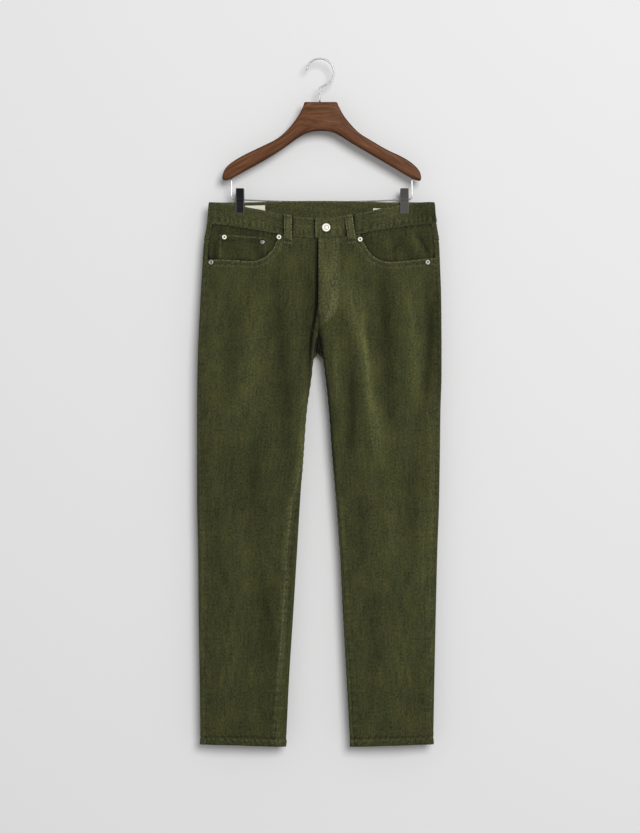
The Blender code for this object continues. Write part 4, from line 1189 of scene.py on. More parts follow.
def back_pocket_net(leg, across, down):
    """x and level for shares across and down a back pocket: it narrows by a tenth, and its lower edge
    falls to the point by twice the share from the nearer side."""
    x0, x1, top, bottom = (value * MM for value in BACK_POCKETS[leg])
    x = (x0 + x1) / 2 + (x1 - x0) * (across - 0.5) * (1 - 0.1 * down)
    rise = POCKET_POINT * np.abs(2 * across - 1)
    return x, top + (bottom - top + rise) * down


for leg in ("right", "left"):
    across = edge_shares(POCKET_WIDTH, 2.8 * MM, 6, 6)[None, :]
    down = edge_shares(POCKET_HEIGHT, 2.8 * MM, 6, 6)[:, None]
    x, level = np.broadcast_arrays(*back_pocket_net(leg, across, down))
    from_top = POCKET_HEIGHT * down
    from_side = np.minimum(POCKET_WIDTH * np.minimum(across, 1 - across), POCKET_HEIGHT * (1 - down))
    height = 0.5 * (1 - smooth_step(12 * MM, 16 * MM, from_top)) - 0.35 * bell(from_top - 14 * MM, 1.2 * MM)
    height = height - 0.35 * bell(from_side - 2.2 * MM, 1.1 * MM) - 0.3 * bell(from_side - 8.6 * MM, 1.1 * MM)
    height = height + 0.2 * bell(from_side - 5.4 * MM, 3.5 * MM) * np.sin((x + level) / (1.9 * MM))
    height = height + 1.1 * smooth_step(8 * MM, 50 * MM, from_side) * smooth_step(2 * MM, 20 * MM, from_top)
    outer, inner = patch_faces(leg, "back", x, level, GAP + TRIM_WALL + height * MM, TRIM_WALL)
    # worn edges along its top and sides, partly a painted highlight; painted shade along both rows of
    # stitching
    rub = 0.7 * bell(from_top, 2 * MM) + 0.6 * bell(from_side, 2 * MM)
    tone = -0.7 * bell(from_side - 8.6 * MM, 1.6 * MM) - 0.5 * bell(from_side - 2.2 * MM, 1.2 * MM)
    piece = cloth_shell(f"seat_pocket_{leg}", outer, inner, x, level, rub, tone)
    finish_cloth(piece, f"back_pocket_{leg}")


# Fly
# Behind the left front: the zip's tape with its closed teeth and slider, and the shield of cord behind
# them. Nothing of it shows while the fly is closed.


def weave_group():
    """Threads: a noise with its own scale each way blends a dark and a light colour."""
    group, given, made = new_group(
        "woven threads",
        {"Cloth": "Vector", "Threads": "Vector", "Detail": "Float", "Dark": "Color", "Light": "Color"},
        {"Color": "Color", "Height": "Float"},
    )
    threads = noise(group, given["Cloth"], given["Threads"], given["Detail"])
    feed(group, made["Color"], blend_colours(group, threads, given["Dark"], given["Light"]))
    feed(group, made["Height"], threads)
    return group


WEAVE = weave_group()

tape, tree, shader = new_material("zip tape", 0.85, Sheen_Weight=0.1)
woven = place_group(
    tree,
    WEAVE,
    Cloth=uv_place(tree, "cloth"),
    Threads=(1600, 900, 1),
    Detail=2.0,
    Dark=(0.02, 0.022, 0.01),
    Light=(0.045, 0.048, 0.022),
)
feed(tree, shader.inputs["Base Color"], woven["Color"])


def add_patch(name, node, leg, side, patch, step, lift, wall, material):
    """A plain rectangle of cloth laid on a leg's front or back: x from and to, top and bottom, in mm."""
    x, level = patch_net(*(value * MM for value in patch), step)
    outer, inner = patch_faces(leg, side, x, level, np.full(x.shape, lift), wall, 0)
    piece = cloth_shell(name, outer, inner, x, level)
    finish_cloth(piece, node, material)


for name, node, patch, depth, wall, material, slot in (
    ("zip_tape_strip", "zip_tape", (-3, 21, -326, -455), CLOTH_WALL + GAP, 0.8 * MM, tape, "tape"),
    ("fly_shield_flap", "fly_shield", (-12, 36, -324, -470), 5.9 * MM, TRIM_WALL, corduroy, "corduroy"),
):
    add_patch(name, node, "left", "front", patch, 3.5 * MM, -depth, wall, material)


# Waistband
# One strip of cord folded double, from its lower end under the button, round the right side and the
# back, to its upper end at centre front. It pinches flat under each clip and puckers at its seam.


def band_turns(leg, level, front_x):
    """Turns from front_x on the front, over the outer fold, to centre back: even by length of cloth,
    closer at the fold."""
    turn = np.linspace(0, math.pi, 900)
    x = cloth_form(leg, level, turn)[:, 0]
    way = 1 if leg == "right" else -1
    front, centre = np.interp([way * front_x, way * CENTRE_X], way * x, turn)
    turn = np.linspace(front, -centre, 900)
    _, weighed = ring_lengths(leg, level, turn, 10 * MM)
    return np.interp(edge_shares(480 * MM, 3.0 * MM, 6, 1) * weighed[-1], weighed, turn)


def band_relief(x, level, run):
    """The band's own relief: pillowed between stitched edges, with short upright puckers over the seam
    and a long slow ripple."""
    up, down = level - (WAIST_SEAM + GAP), BAND_TOP - level
    ripple = np.sin(run / (1.75 * MM) + 2.2 * np.sin(run / (11 * MM)) + np.sin(run / (37 * MM)))
    height = -0.55 * bell(up, 1.6 * MM) - 0.5 * bell(down, 1.6 * MM)
    height = height - 0.35 * bell(up - 3 * MM, 1.1 * MM) - 0.3 * bell(down - 3.2 * MM, 1.1 * MM)
    height = height + (0.95 * bell(up - 8 * MM, 6.5 * MM) + 0.15) * ripple * smooth_step(1 * MM, 6 * MM, up)
    height = height + 0.35 * np.sin(run / (23 * MM) + 0.6) * smooth_step(0, 15 * MM, up)
    free = 1 - bell(beyond_clip(x), 6 * MM) * smooth_step(-312 * MM, -300 * MM, level)
    return height * MM * free


band_levels = BAND_TOP - edge_spaced(BAND_TOP - WAIST_SEAM - GAP, 2.4 * MM, 5, 5)
halves = []
for leg, front_x in (("right", 32 * MM), ("left", -8.8 * MM)):
    turn = np.array([band_turns(leg, level, front_x) for level in band_levels])
    level = np.broadcast_to(band_levels[:, None], turn.shape)
    here, normal = cloth_form(leg, level, turn), form_normal(leg, level, turn)
    run, front = np.array([run_along(row) for row in here]), turn > 0
    lift = band_relief(here[..., 0], level, run)
    if leg == "right":
        under = smooth_step(-32 * MM, -13 * MM, here[..., 0]) * front
        here = here + (BAND_WALL + GAP) * under[..., None] * (0, 1, 0)
        lift = lift * (1 - under)
    x = here[..., 0]
    # painted light and shade: the relief's ridges lighter and the whole band a little darker; on its front,
    # darker from 150 mm out on the left, with painted shadows beside each loop, beside the lap's end and
    # round the button
    shade = 0.55 * smooth_step(150 * MM, 200 * MM, x)
    for loop_x in (-62.6, 58):
        shade = shade + 2.5 * bell(np.abs(x - loop_x * MM) - 7.8 * MM, 2.4 * MM)
    shade = shade + (2.2 * bell(x + 10.4 * MM, 2.4 * MM) if leg == "right" else 1.6 * pressed_rims(here))
    tone = 0.8 * lift / MM - 0.17 - shade * front
    faces = here + normal * lift[..., None], here + normal * (lift - BAND_WALL)[..., None]
    halves.append((*faces, level, tone, run))
right, left = halves
whole = (np.concatenate([a, b[:, -2::-1]], axis=1) for a, b in zip(right[:4], left))
band_outer, band_inner, level, tone = whole
right_run, left_run = right[4], left[4]
run = np.concatenate([right_run, right_run[:, -1:] + left_run[:, -1:] - left_run[:, -2::-1]], axis=1)
# worn edges, partly a painted highlight: the top, the seam and the lap's end, and a little all over
rub = 0.16 + 0.55 * bell(BAND_TOP - level, 1.8 * MM) + 0.4 * bell(level - WAIST_SEAM - GAP, 1.8 * MM)
rub = rub + 0.6 * bell(run[:, -1:] - run, 2.2 * MM)
piece = cloth_shell("band", band_outer, band_inner, level, run, rub, tone)
finish_cloth(piece, "waistband")


# Belt loops
# Five strips of folded cord, each stitched along both edges, tacked over the band's top edge and to the
# panel below the seam.

# Each loop: the side that it is on, x of its top and bottom, and its top, mm
LOOPS = {
    "front_right": ("front", -62.6, -62.6, -280.2),
    "front_left": ("front", 55.5, 63, -280.2),
    "side_right": ("back", -187, -187, -282),
    "side_left": ("back", 196, 196, -282),
    "back": ("back", -3, -3, -284.5),
}
LOOP_WALL, LOOP_WIDTH, LOOP_LENGTH = 1.9 * MM, 14 * MM, 64 * MM
LOOP_END = -345 * MM
TACKS = (0.07, 0.87)  # the shares down a loop where bars of thread hold it


def loop_points(key, across, down, sink=0.0):
    """A loop: shares across its width, from -0.5 to 0.5, and down its length, standing off the band by
    an arch. Its edges roll in and its ends are tacked flat by a bar of thread."""
    side, x_top, x_bottom, top = LOOPS[key]
    leg = "right" if x_top < 0 else "left"
    x = (x_top + (x_bottom - x_top) * down) * MM + LOOP_WIDTH * across
    level = top * MM + (LOOP_END - top * MM) * down
    rise = GAP + LOOP_WALL + 2.0 * MM * np.sin(math.pi * down)
    rise = rise + 0.5 * MM * (1 - (2 * across) ** 4) - 0.35 * MM * bell(np.abs(across) - 0.33, 0.07)
    rise = rise - 0.8 * MM * bell(down - TACKS[0], 0.025) - 1.2 * MM * bell(down - TACKS[1], 0.022)
    rise = rise + 0.7 * MM * bell(down - 0.95, 0.035)
    return lifted(leg, side, x, level, rise - sink, 0)


for key in LOOPS:
    across = np.linspace(-0.5, 0.5, 15)[None, :]
    down = edge_shares(LOOP_LENGTH, 1.6 * MM, 3, 3)[:, None]
    outer, inner = loop_points(key, across, down), loop_points(key, across, down, LOOP_WALL)
    # worn edges, partly a painted highlight: both sides, the middle and both ends
    worn = 0.15 + 0.9 * bell(np.abs(across) - 0.5, 0.11) + 0.25 * bell(across, 0.2)
    worn = worn + 0.5 * bell(down - 1, 0.03) + 0.5 * bell(down, 0.03)
    # painted shade in the grooves of both tacks and along the stitching
    tone = -0.9 * bell(down - TACKS[0], 0.025) - 1.8 * bell(down - TACKS[1], 0.03)
    tone = tone - 0.4 * bell(np.abs(across) - 0.33, 0.08)
    piece = cloth_shell(f"loop_{key}", outer, inner, LOOP_WIDTH * across, -LOOP_LENGTH * down, worn, tone)
    finish_cloth(piece, f"belt_loop_{key}")


# Labels
# Two plain woven tabs sewn inside the back of the band, left blank.

LABEL_WALL = 0.4 * MM
label_cloth, tree, shader = new_material("label cloth", 0.75, Sheen_Weight=0.15)
woven = place_group(
    tree,
    WEAVE,
    Cloth=uv_place(tree, "cloth"),
    Threads=(2400, 1500, 1),
    Detail=1.0,
    Dark=(0.66, 0.65, 0.52),
    Light=(0.92, 0.91, 0.79),
)
feed(tree, shader.inputs["Base Color"], woven["Color"])
bump(tree, shader, woven["Height"], 0.15 * MM)

for leg, patch in {"right": (-147, -107.6, -287, -316), "left": (104, 146, -293, -316)}.items():
    add_patch(
        f"tab_{leg}", f"label_{leg}", leg, "back", patch, 2.4 * MM,
        -(BAND_WALL + LOOSE_GAP), LABEL_WALL, label_cloth,
    )


# Topstitching
# Tonal thread along every sewn edge: each stitch a short pad of thread 2.6 mm long whose ends dip into
# the cloth.


def object_place(tree):
    """Where a point of the mesh is."""
    return tree.nodes.new("ShaderNodeTexCoord").outputs["Object"]


thread, tree, shader = new_material("sewing thread", 0.7, Sheen_Weight=0.2)
twist = place_group(
    tree,
    WEAVE,
    Cloth=object_place(tree),
    Threads=(900, 900, 900),
    Detail=1.0,
    Dark=(0.045, 0.046, 0.02),
    Light=(0.095, 0.094, 0.045),
)
feed(tree, shader.inputs["Base Color"], twist["Color"])

STITCH_PITCH, STITCH_LENGTH, THREAD_RADIUS = 3.5 * MM, 2.6 * MM, 0.32 * MM


def stitch_row(points, normals):
    """Where a row's stitches lie: its line sampled every pitch, with the way along and the normal."""
    run = run_along(points)
    at = np.arange(STITCH_PITCH / 2, run[-1] - STITCH_PITCH / 2, STITCH_PITCH)
    here, after = read_line(at, run, points), read_line(at + 0.4 * MM, run, points)
    return here, unit(after - here), read_line(at, run, normals)


def ring_faces(rings, count):
    """Faces round a body of closed rings of count points each: quads from ring to ring, and triangles
    from the first and the last ring to two closing points, which are numbered after the rings'."""
    r, k = np.arange(rings - 1)[:, None], np.arange(count)
    after = (k + 1) % count
    here, beside = r * count + k, r * count + after
    quads = np.stack([here, beside, beside + count, here + count], axis=-1)
    close, last = rings * count + 0 * k, (rings - 1) * count
    caps = np.stack([close, after, k], axis=1), np.stack([close + 1, last + k, last + after], axis=1)
    return quads.reshape(-1, 4), np.concatenate(caps)


def add_stitches(name, rows):
    """All stitches of the rows in one mesh. Each is five-sided: two tips sunk in the cloth, two narrow
    rings and a full one that stands a little proud."""
    here, along, normal = (np.concatenate(part)[:, None] for part in zip(*rows))
    side = unit(np.cross(along, normal))
    normal = np.cross(side, along)
    local = [
        (at, size * math.cos(angle), rise + size * math.sin(angle))
        for at, size, rise in ((-0.36, 0.72, -0.2), (0.0, 1.0, 0.35), (0.36, 0.72, -0.2))
        for angle in 2 * math.pi * np.arange(5) / 5
    ]
    local = np.array(local + [(-0.5, 0.0, -0.9), (0.5, 0.0, -0.9)])
    local = local * (STITCH_LENGTH, THREAD_RADIUS, THREAD_RADIUS)
    points = here + along * local[:, :1] + side * local[:, 1:2] + normal * local[:, 2:]
    quads, caps = ring_faces(3, 5)
    shift = len(local) * np.arange(len(here))[:, None, None]
    quads, caps = quads[:, [0, 3, 2, 1]] + shift, caps[:, [0, 2, 1]] + shift
    faces = quads.reshape(-1, 4).tolist() + caps.reshape(-1, 3).tolist()
    piece = add_object(name, points.reshape(-1, 3), faces, [thread])
    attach(piece, "root")


def panel_row(leg, part, share, level, extra=0.0):
    """A stitch row on a panel, along shares and levels."""
    outer, inner, _ = panel_faces(leg, part, share, level, extra)
    normal = (outer - inner) / CLOTH_WALL
    return stitch_row(outer + normal * 0.12 * MM, normal)


def mouth_row(leg, away):
    """A stitch row beside a pocket mouth, the given way down into the panel."""
    line = MOUTH_LINES[leg]
    way = unit(np.gradient(line, axis=0))
    line = line + np.stack([way[:, 1], -way[:, 0]], axis=1) * (-away if leg == "right" else away)
    level = level_through(leg, "front", line[:, 0], line[:, 1])
    share = share_through(leg, line[:, 0], level)
    keep = (level < WAIST_SEAM - 2 * MM) & (share > 0.008)
    return panel_row(leg, "front", share[keep], level[keep])


def patch_row(leg, side, x, level, lift, waves=1.0):
    """A stitch row on a patch whose outer face stands at lift."""
    top, under = patch_faces(leg, side, x, level, lift, TRIM_WALL, waves)
    return stitch_row(top, (top - under) / TRIM_WALL)


front_rows, back_rows, trim_rows = [], [], []
ladder = np.linspace(HEM + 1 * MM, WAIST_SEAM - 3 * MM, 700)
seat, inseam = ladder[ladder > CROTCH + 2 * MM], ladder[ladder < CROTCH - 6 * MM]
across = np.linspace(0.004, 0.996, 200)
hem = np.full(across.shape, HEM + 14 * MM)


def beside_inner_edge(leg, levels, away):
    """A row up the back panel, at a length of cloth away from its inner edge."""
    _, width = cloth_run(leg, "back", np.ones(levels.shape), levels)
    return panel_row(leg, "back", 1 - away / width, levels)


for leg in ("right", "left"):
    front_rows += [mouth_row(leg, 2.4 * MM), mouth_row(leg, 9 * MM), panel_row(leg, "front", across, hem)]
    back_rows.append(panel_row(leg, "back", across, hem))
    for away in (2.4 * MM, 8.8 * MM):
        back_rows.append(panel_row(leg, "back", across, yoke_edge(across) + away, YOKE_LAYER))
    if leg == "left":
        back_rows += [beside_inner_edge(leg, seat, 2.4 * MM), beside_inner_edge(leg, seat, 8.0 * MM)]
    back_rows.append(beside_inner_edge(leg, inseam, 2.4 * MM))

z = np.linspace(-352 * MM, -519 * MM, 200)
for away in (0.0, 6.0 * MM):
    x = fly_line(z) - away
    keep = x > CENTRE_X + 1 * MM
    level = level_through("left", "front", x[keep], z[keep])
    front_rows.append(panel_row("left", "front", share_through("left", x[keep], level), level))

down = np.linspace(0.02, 0.98, 60)
for key in LOOPS:
    for across in (-0.33, 0.33):
        across = np.full(down.shape, across)
        top, under = loop_points(key, across, down), loop_points(key, across, down, LOOP_WALL)
        trim_rows.append(stitch_row(top, (top - under) / LOOP_WALL))
for from_top in (3.2 * MM, 38.7 * MM):
    i = np.abs(BAND_TOP - from_top - band_levels).argmin()
    normal = (band_outer[i] - band_inner[i]) / BAND_WALL
    trim_rows.append(stitch_row(band_outer[i] + normal * 0.1 * MM, normal))
x = np.linspace(-194 * MM, -108 * MM, 60)
for away in (2.2 * MM, 8.6 * MM):
    level = coin_level(x, away)
    trim_rows.append(patch_row("right", "front", x, level, coin_face(x, level) + 0.35 * MM, 0.3))
level = np.linspace(-343 * MM, -409 * MM, 50)
for x in (-194.3 * MM, -107.7 * MM):
    x = np.full(level.shape, x)
    trim_rows.append(patch_row("right", "front", x, level, coin_face(x, level), 0.3))
for leg in ("right", "left"):
    for away in (2.2 * MM, 8.6 * MM):
        side, foot = away / POCKET_WIDTH, 1 - away / POCKET_HEIGHT
        across = np.concatenate([np.full(60, side), np.linspace(side, 1 - side, 60), np.full(60, 1 - side)])
        down = np.concatenate([np.linspace(0.02, foot, 60), np.full(60, foot), np.linspace(foot, 0.02, 60)])
        x, level = back_pocket_net(leg, across, down)
        trim_rows.append(patch_row(leg, "back", x, level, np.full(x.shape, GAP + TRIM_WALL + 0.1 * MM)))

add_stitches("stitching_front", front_rows)
add_stitches("stitching_back", back_rows)
add_stitches("stitching_trim", trim_rows)


# Button and rivets
# A turned metal button on the band's lap, with a raised ring round its cupped middle, the groove
# inside the ring painted darker as shade, and six rivets: bright collars round a pressed centre
# painted dark as shade, one of them a plain dome painted darker as shade.


def plating_group():
    """Small smudges: one noise blends a metal's two colours, and three tenths of it, less 0.12, is
    added to its roughness."""
    group, given, made = new_group(
        "plating smudges",
        {"Place": "Vector", "Bright": "Color", "Dark": "Color", "Dullness": "Float"},
        {"Color": "Color", "Roughness": "Float"},
    )
    smudge = noise(group, given["Place"], 420, 3.0, 0.6)
    feed(group, made["Color"], blend_colours(group, smudge, given["Dark"], given["Bright"]))
    rough = maths(group, "MULTIPLY_ADD", smudge, 0.3, maths(group, "SUBTRACT", given["Dullness"], 0.12))
    feed(group, made["Roughness"], rough)
    return group


PLATING = plating_group()


def metal_material(name, bright, dark, roughness, metallic=1.0, **plain):
    """Plated or lacquered metal with its smudges."""
    material, tree, shader = new_material(name, roughness, metallic, **plain)
    values = {"Place": object_place(tree), "Bright": bright, "Dark": dark, "Dullness": roughness}
    plating = place_group(tree, PLATING, **values)
    feed(tree, shader.inputs["Base Color"], plating["Color"])
    feed(tree, shader.inputs["Roughness"], plating["Roughness"])
    return material


nickel = metal_material("nickel", (0.76, 0.74, 0.64), (0.58, 0.56, 0.47), 0.5)
nickel_bright = metal_material("polished nickel", (0.92, 0.9, 0.79), (0.76, 0.74, 0.63), 0.5)
nickel_tarnished = metal_material("tarnished nickel", (0.46, 0.46, 0.4), (0.3, 0.3, 0.26), 0.5)
# Darker copies of the nickel are painted shade: in the rivets' pressed centres, in the button's groove and on
# the dome that stands in shade.
nickel_dark = metal_material("nickel in shadow", (0.2, 0.19, 0.16), (0.08, 0.075, 0.06), 0.5)
nickel_ring = metal_material("nickel in the groove", (0.58, 0.56, 0.47), (0.42, 0.4, 0.33), 0.5)
nickel_dull = metal_material("dull nickel", (0.42, 0.42, 0.37), (0.26, 0.26, 0.22), 0.5)


def face_outwards(piece):
    """Turns every face over if the closed mesh holds a negative volume."""
    mesh = piece.data
    mesh.calc_loop_triangles()
    corners = np.zeros(len(mesh.loop_triangles) * 3, np.int32)
    mesh.loop_triangles.foreach_get("vertices", corners)
    points = np.zeros(len(mesh.vertices) * 3)
    mesh.vertices.foreach_get("co", points)
    a, b, c = points.reshape(-1, 3)[corners.reshape(-1, 3)].transpose(1, 0, 2)
    if (a * np.cross(b, c)).sum() < 0:
        mesh.flip_normals()


def add_ringed(name, rings, ends, materials):
    """A closed body from an array of rings and the two points that close its ends."""
    quads, caps = ring_faces(*rings.shape[:2])
    points = np.concatenate([rings.reshape(-1, 3), ends])
    piece = add_object(name, points, quads.tolist() + caps.tolist(), materials)
    face_outwards(piece)
    return piece


def turned(name, profile, centre, out, materials, dark, steps=40):
    """A solid turned about the direction out: rings of the profile's (radius, height) points, closed by
    a point at each end. Faces between the two radii of dark, mm, take the second material."""
    profile, out = np.array(profile) * MM, unit(out)
    side = unit(np.cross(out, (0.0, 0.0, 1.0)))
    angle = 2 * math.pi * np.arange(steps) / steps
    rim = np.cos(angle)[:, None] * side + np.sin(angle)[:, None] * np.cross(out, side)
    body = profile[1:-1]
    rings = body[:, 0, None, None] * rim + body[:, 1, None, None] * out + centre
    piece = add_ringed(name, rings, profile[[0, -1], 1][:, None] * out + centre, materials)
    around = np.repeat((body[:-1, 0] + body[1:, 0]) / 2, steps)
    radius = np.concatenate([around, np.zeros(steps), np.full(steps, 1)])
    in_dark = (radius >= dark[0] * MM) & (radius < dark[1] * MM)
    piece.data.polygons.foreach_set("material_index", in_dark.astype(np.int32))
    return piece


BUTTON = (
    (0, 3.9), (1.2, 3.85), (2.4, 3.65), (3.4, 3.2), (4.2, 2.95), (4.9, 3.4), (5.6, 3.95), (6.6, 4.05),
    (7.6, 3.6), (8.4, 3.0), (8.75, 2.5), (8.6, 2.0), (7.8, 1.75), (4.2, 1.6), (3.6, 1.2), (3.6, 0), (0, 0),
)
RIVET = (
    (0, 0.55), (0.6, 0.6), (1.1, 0.75), (1.4, 0.7), (1.7, 0.75), (2.1, 1.25), (2.8, 1.55), (3.6, 1.55),
    (4.3, 1.3), (4.8, 0.9), (5.1, 0.4), (5.1, 0), (0, 0),
)
DOME = ((0, 1.2), (1.2, 1.15), (2.4, 1.0), (3.4, 0.75), (4.3, 0.45), (4.7, 0.1), (4.7, 0), (0, 0))

# Profile, main and second material, and the radii between which the second one lies, mm
BRIGHT_RIVET = (RIVET, (nickel, nickel_dark), (0, 1.7))
STUD_KINDS = {
    "waist_button": (BUTTON, (nickel_bright, nickel_ring), (3.5, 4.9)),
    "rivet_coin_inner": (DOME, (nickel_dull, nickel_dull), (0, 1.7)),
    "rivet_mouth_right_outer": (RIVET, (nickel_tarnished, nickel_dark), (0, 1.7)),
    "rivet_mouth_left_outer": (RIVET, (nickel_tarnished, nickel_dark), (0, 1.7)),
}

for node, (x, z, _) in STUDS.items():
    profile, looks, dark = STUD_KINDS.get(node, BRIGHT_RIVET)
    leg = "right" if x < -3 else "left"
    x = np.array([x * MM])
    level = level_through(leg, "front", x, np.array([z * MM]))
    base = np.array([0.1 * MM if node == "waist_button" else 0.5 * MM])
    if node.startswith("rivet_coin"):
        base = base + facing_lift(x, level) + GAP + TRIM_WALL
    here, above = (lifted(leg, "front", x, level, base + rise, 0)[0] for rise in (0, MM))
    piece = turned(node + "_turned", profile, here, above - here, looks, dark)
    fit(piece, node)


# Wooden hanger
# A walnut-stained hanger sawn from board 14 mm thick, its edges rounded over, its arms crowned, under a
# satin lacquer.

WOOD_OUTLINE = (
    (-30.4, -83.9), (33.5, -83.9), (42.3, -104.5), (54.7, -121.9), (75.7, -144.6), (96.6, -157),
    (131.5, -178), (163.1, -191.8), (184, -206), (196.4, -219.9), (198.9, -234), (196.4, -239.3),
    (180.5, -234), (145.6, -213), (103.7, -188.5), (61.5, -164), (40.6, -149.9), (23.1, -141.3),
    (2.2, -139.6), (-15.5, -141.3), (-36.5, -148.2), (-78.4, -179.7), (-116.8, -202.5),
    (-159, -225.2), (-176.4, -235.8), (-190.3, -238.1), (-192.1, -230.5), (-187, -214.8),
    (-176.4, -204.2), (-151.9, -188.6), (-106.4, -167.4), (-81.9, -155.2), (-64.5, -139.6),
    (-46.8, -118.4), (-34.7, -97.4),
)

# The line that the grain follows down both arms: x and z, mm
WOOD_SWEEP = np.array(
    (
        (-192, -150, -100, -65, -35, -12, 16, 38, 62, 104, 150, 198),
        (-226, -204, -177, -155, -131, -119, -118, -129, -150, -176, -201, -232),
    )
)
# The rounded corners at the neck's top: x and z, mm
NECK = ((-31.4, -86.5), (-30.4, -84.2), (-28.6, -83.9), (31.5, -83.9), (33.4, -84.2), (34.4, -86.5))


def eased(start, corner, end, t):
    """A quadratic curve from start to end, drawn towards the corner between them."""
    return (1 - t) ** 2 * start + 2 * t * (1 - t) * corner + t * t * end


def wood_outline():
    """The board's outline, clockwise from the neck: each corner below the neck eased by a curve between
    its edges' middles, and the whole sampled evenly by length."""
    corners = np.array(WOOD_OUTLINE)
    before, after = np.roll(corners, 1, axis=0), np.roll(corners, -1, axis=0)
    t = np.linspace(0, 1, 6, endpoint=False)[None, :, None]
    curve = eased(((before + corners) / 2)[:, None], corners[:, None], ((corners + after) / 2)[:, None], t)
    curve = curve.reshape(-1, 2)
    curve = curve[curve[:, 1] < -90]
    first = np.argmin(np.linalg.norm(curve - (36, -90), axis=1))
    outline = np.vstack([NECK, np.roll(curve, -first, axis=0), NECK[:1]]) * MM
    run = run_along(outline)
    return read_line(np.linspace(0, run[-1], 360, endpoint=False), run, outline)


def wood_mesh():
    """Rings set in from the outline while they rise from the middle of the board to its face: a quarter
    round at the edge, then a slow crown, closed by one flat face on each side. The last array is 1
    where the board's edge is and falls off inwards, more slowly on the lower edges: it places the
    painted shade along the edges."""
    outline = wood_outline()
    way = unit(np.roll(outline, -2, axis=0) - np.roll(outline, 2, axis=0))
    inwards = np.stack([way[:, 1], -way[:, 0]], axis=1)
    angle = np.radians(np.linspace(0, 90, 7))
    inset = np.concatenate([3.4 * (1 - np.cos(angle)), [4.6, 6.2]]) * MM
    rise = np.concatenate([3.2 + 3.4 * np.sin(angle), [6.8, 6.95]]) * MM
    inset, rise = np.concatenate([inset[::-1], inset]), np.concatenate([-rise[::-1], rise])
    flat = outline + inwards * inset[:, None, None]
    rings = np.stack(np.broadcast_arrays(flat[..., 0], rise[:, None], flat[..., 1]), axis=-1)
    under = 3.0 * MM * smooth_step(0.2, 0.8, inwards[:, 1])
    edge = bell(inset[:, None], 1.8 * MM + under)
    quads, _ = ring_faces(*rings.shape[:2])
    fill = np.array(tessellate_polygon([[Vector(point) for point in rings[0].tolist()]]))
    a, b, c = rings[0][fill].transpose(1, 0, 2)
    backwards = np.cross(b - a, c - a)[:, 1] > 0
    fill[backwards] = fill[backwards][:, ::-1]
    far_fill = fill[:, ::-1] + (len(rings) - 1) * len(outline)
    return rings.reshape(-1, 3), quads.tolist() + fill.tolist() + far_fill.tolist(), edge.ravel()


walnut, tree, shader = new_material(
    "walnut stain", 0.45, Coat_Weight=0.04, Coat_Roughness=0.25, Specular_IOR_Level=0.03
)
board = uv_place(tree, "board")
figure = noise(tree, board, (16, 190, 1), 4.0, 0.6)
pores = noise(tree, board, (60, 1300, 1), 2.0, 0.5)
figure = maths(tree, "MULTIPLY_ADD", figure, 2.8, -0.9)
stain = blend_colours(tree, figure, (0.075, 0.029, 0.012), (0.195, 0.083, 0.039))
# painted shade along the board's edges, widest on the lower edges
edge_dark = maths(tree, "MULTIPLY_ADD", point_value(tree, "edge"), -0.5, 1.0)
shade = maths(tree, "MULTIPLY", maths(tree, "MULTIPLY_ADD", pores, 0.9, 0.55), edge_dark)
feed(tree, shader.inputs["Base Color"], times(tree, stain, shade))
bump(tree, shader, pores, 0.12 * MM)

points, faces, edge = wood_mesh()
piece = add_object("hanger_wood", points, faces, [walnut])
sweep = np.interp(points[:, 0], WOOD_SWEEP[0] * MM, WOOD_SWEEP[1] * MM)
lay_fields(piece, "board", np.stack([points[:, 0], points[:, 2] - sweep], axis=1), edge=edge)
piece.data.set_sharp_from_angle(angle=math.radians(40))
face_outwards(piece)
fit(piece, "hanger_body")


# Hook and clip bar
# Chromed wire: the hook screwed into the neck, and the bar that the clips slide on, let into the
# underside of both arms. The bar's colour is a painted reflection: bright on its upright ends and
# darker along the bar between them.


def wire_tube(name, path, radius, material, sides=14):
    """A round wire along a path: rings set across the way, carried along without twisting, rounded off
    by two smaller rings and a point at each end."""
    way = unit(np.gradient(path, axis=0))
    across = np.array([0.0, 1.0, 0.0])
    across = unit(across - way * (way @ across)[:, None])
    beside = np.cross(way, across)
    size, centre = np.ones(len(path)), path.copy()
    for tip, inner, sign in ((0, 1, -1), (-1, -2, 1)):
        size[tip], size[inner] = 0.6, 0.95
        centre[inner] = path[tip] - sign * way[tip] * radius * 0.25
    angle = 2 * math.pi * np.arange(sides)[None, :, None] / sides
    ring = np.cos(angle) * across[:, None] + np.sin(angle) * beside[:, None]
    rings = centre[:, None] + ring * (radius * size)[:, None, None]
    tips = np.stack([path[0] - way[0] * radius * 0.35, path[-1] + way[-1] * radius * 0.35])
    return add_ringed(name, rings, tips, [material])


chrome = metal_material("chrome", (0.56, 0.56, 0.56), (0.4, 0.4, 0.4), 0.3)
bar_steel = metal_material("bar plating", (0.3, 0.3, 0.3), (0.18, 0.18, 0.18), 0.35)
tree, shader = bar_steel.node_tree, bar_steel.node_tree.nodes["Principled BSDF"]
# painted reflection: the bar's colour blended to near white on its upright ends
height = tree.nodes.new("ShaderNodeSeparateXYZ")
feed(tree, height.inputs[0], object_place(tree))
upright = tree.nodes.new("ShaderNodeMapRange")
feed(tree, upright.inputs["Value"], height.outputs["Z"])
feed(tree, upright.inputs["From Min"], -274 * MM)
feed(tree, upright.inputs["From Max"], -264 * MM)
worn = shader.inputs["Base Color"].links[0].from_socket
feed(tree, shader.inputs["Base Color"], blend_colours(tree, upright.outputs[0], worn, (0.86, 0.86, 0.86)))

HOOK_RADIUS = 27.2 * MM
HOOK_WIRE = 1.65 * MM
HOOK_X = -0.4 * MM  # where its stem stands


def in_plane(x, z):
    """Points in the hanger's middle plane."""
    return np.stack(np.broadcast_arrays(x, 0.0, z), axis=-1)


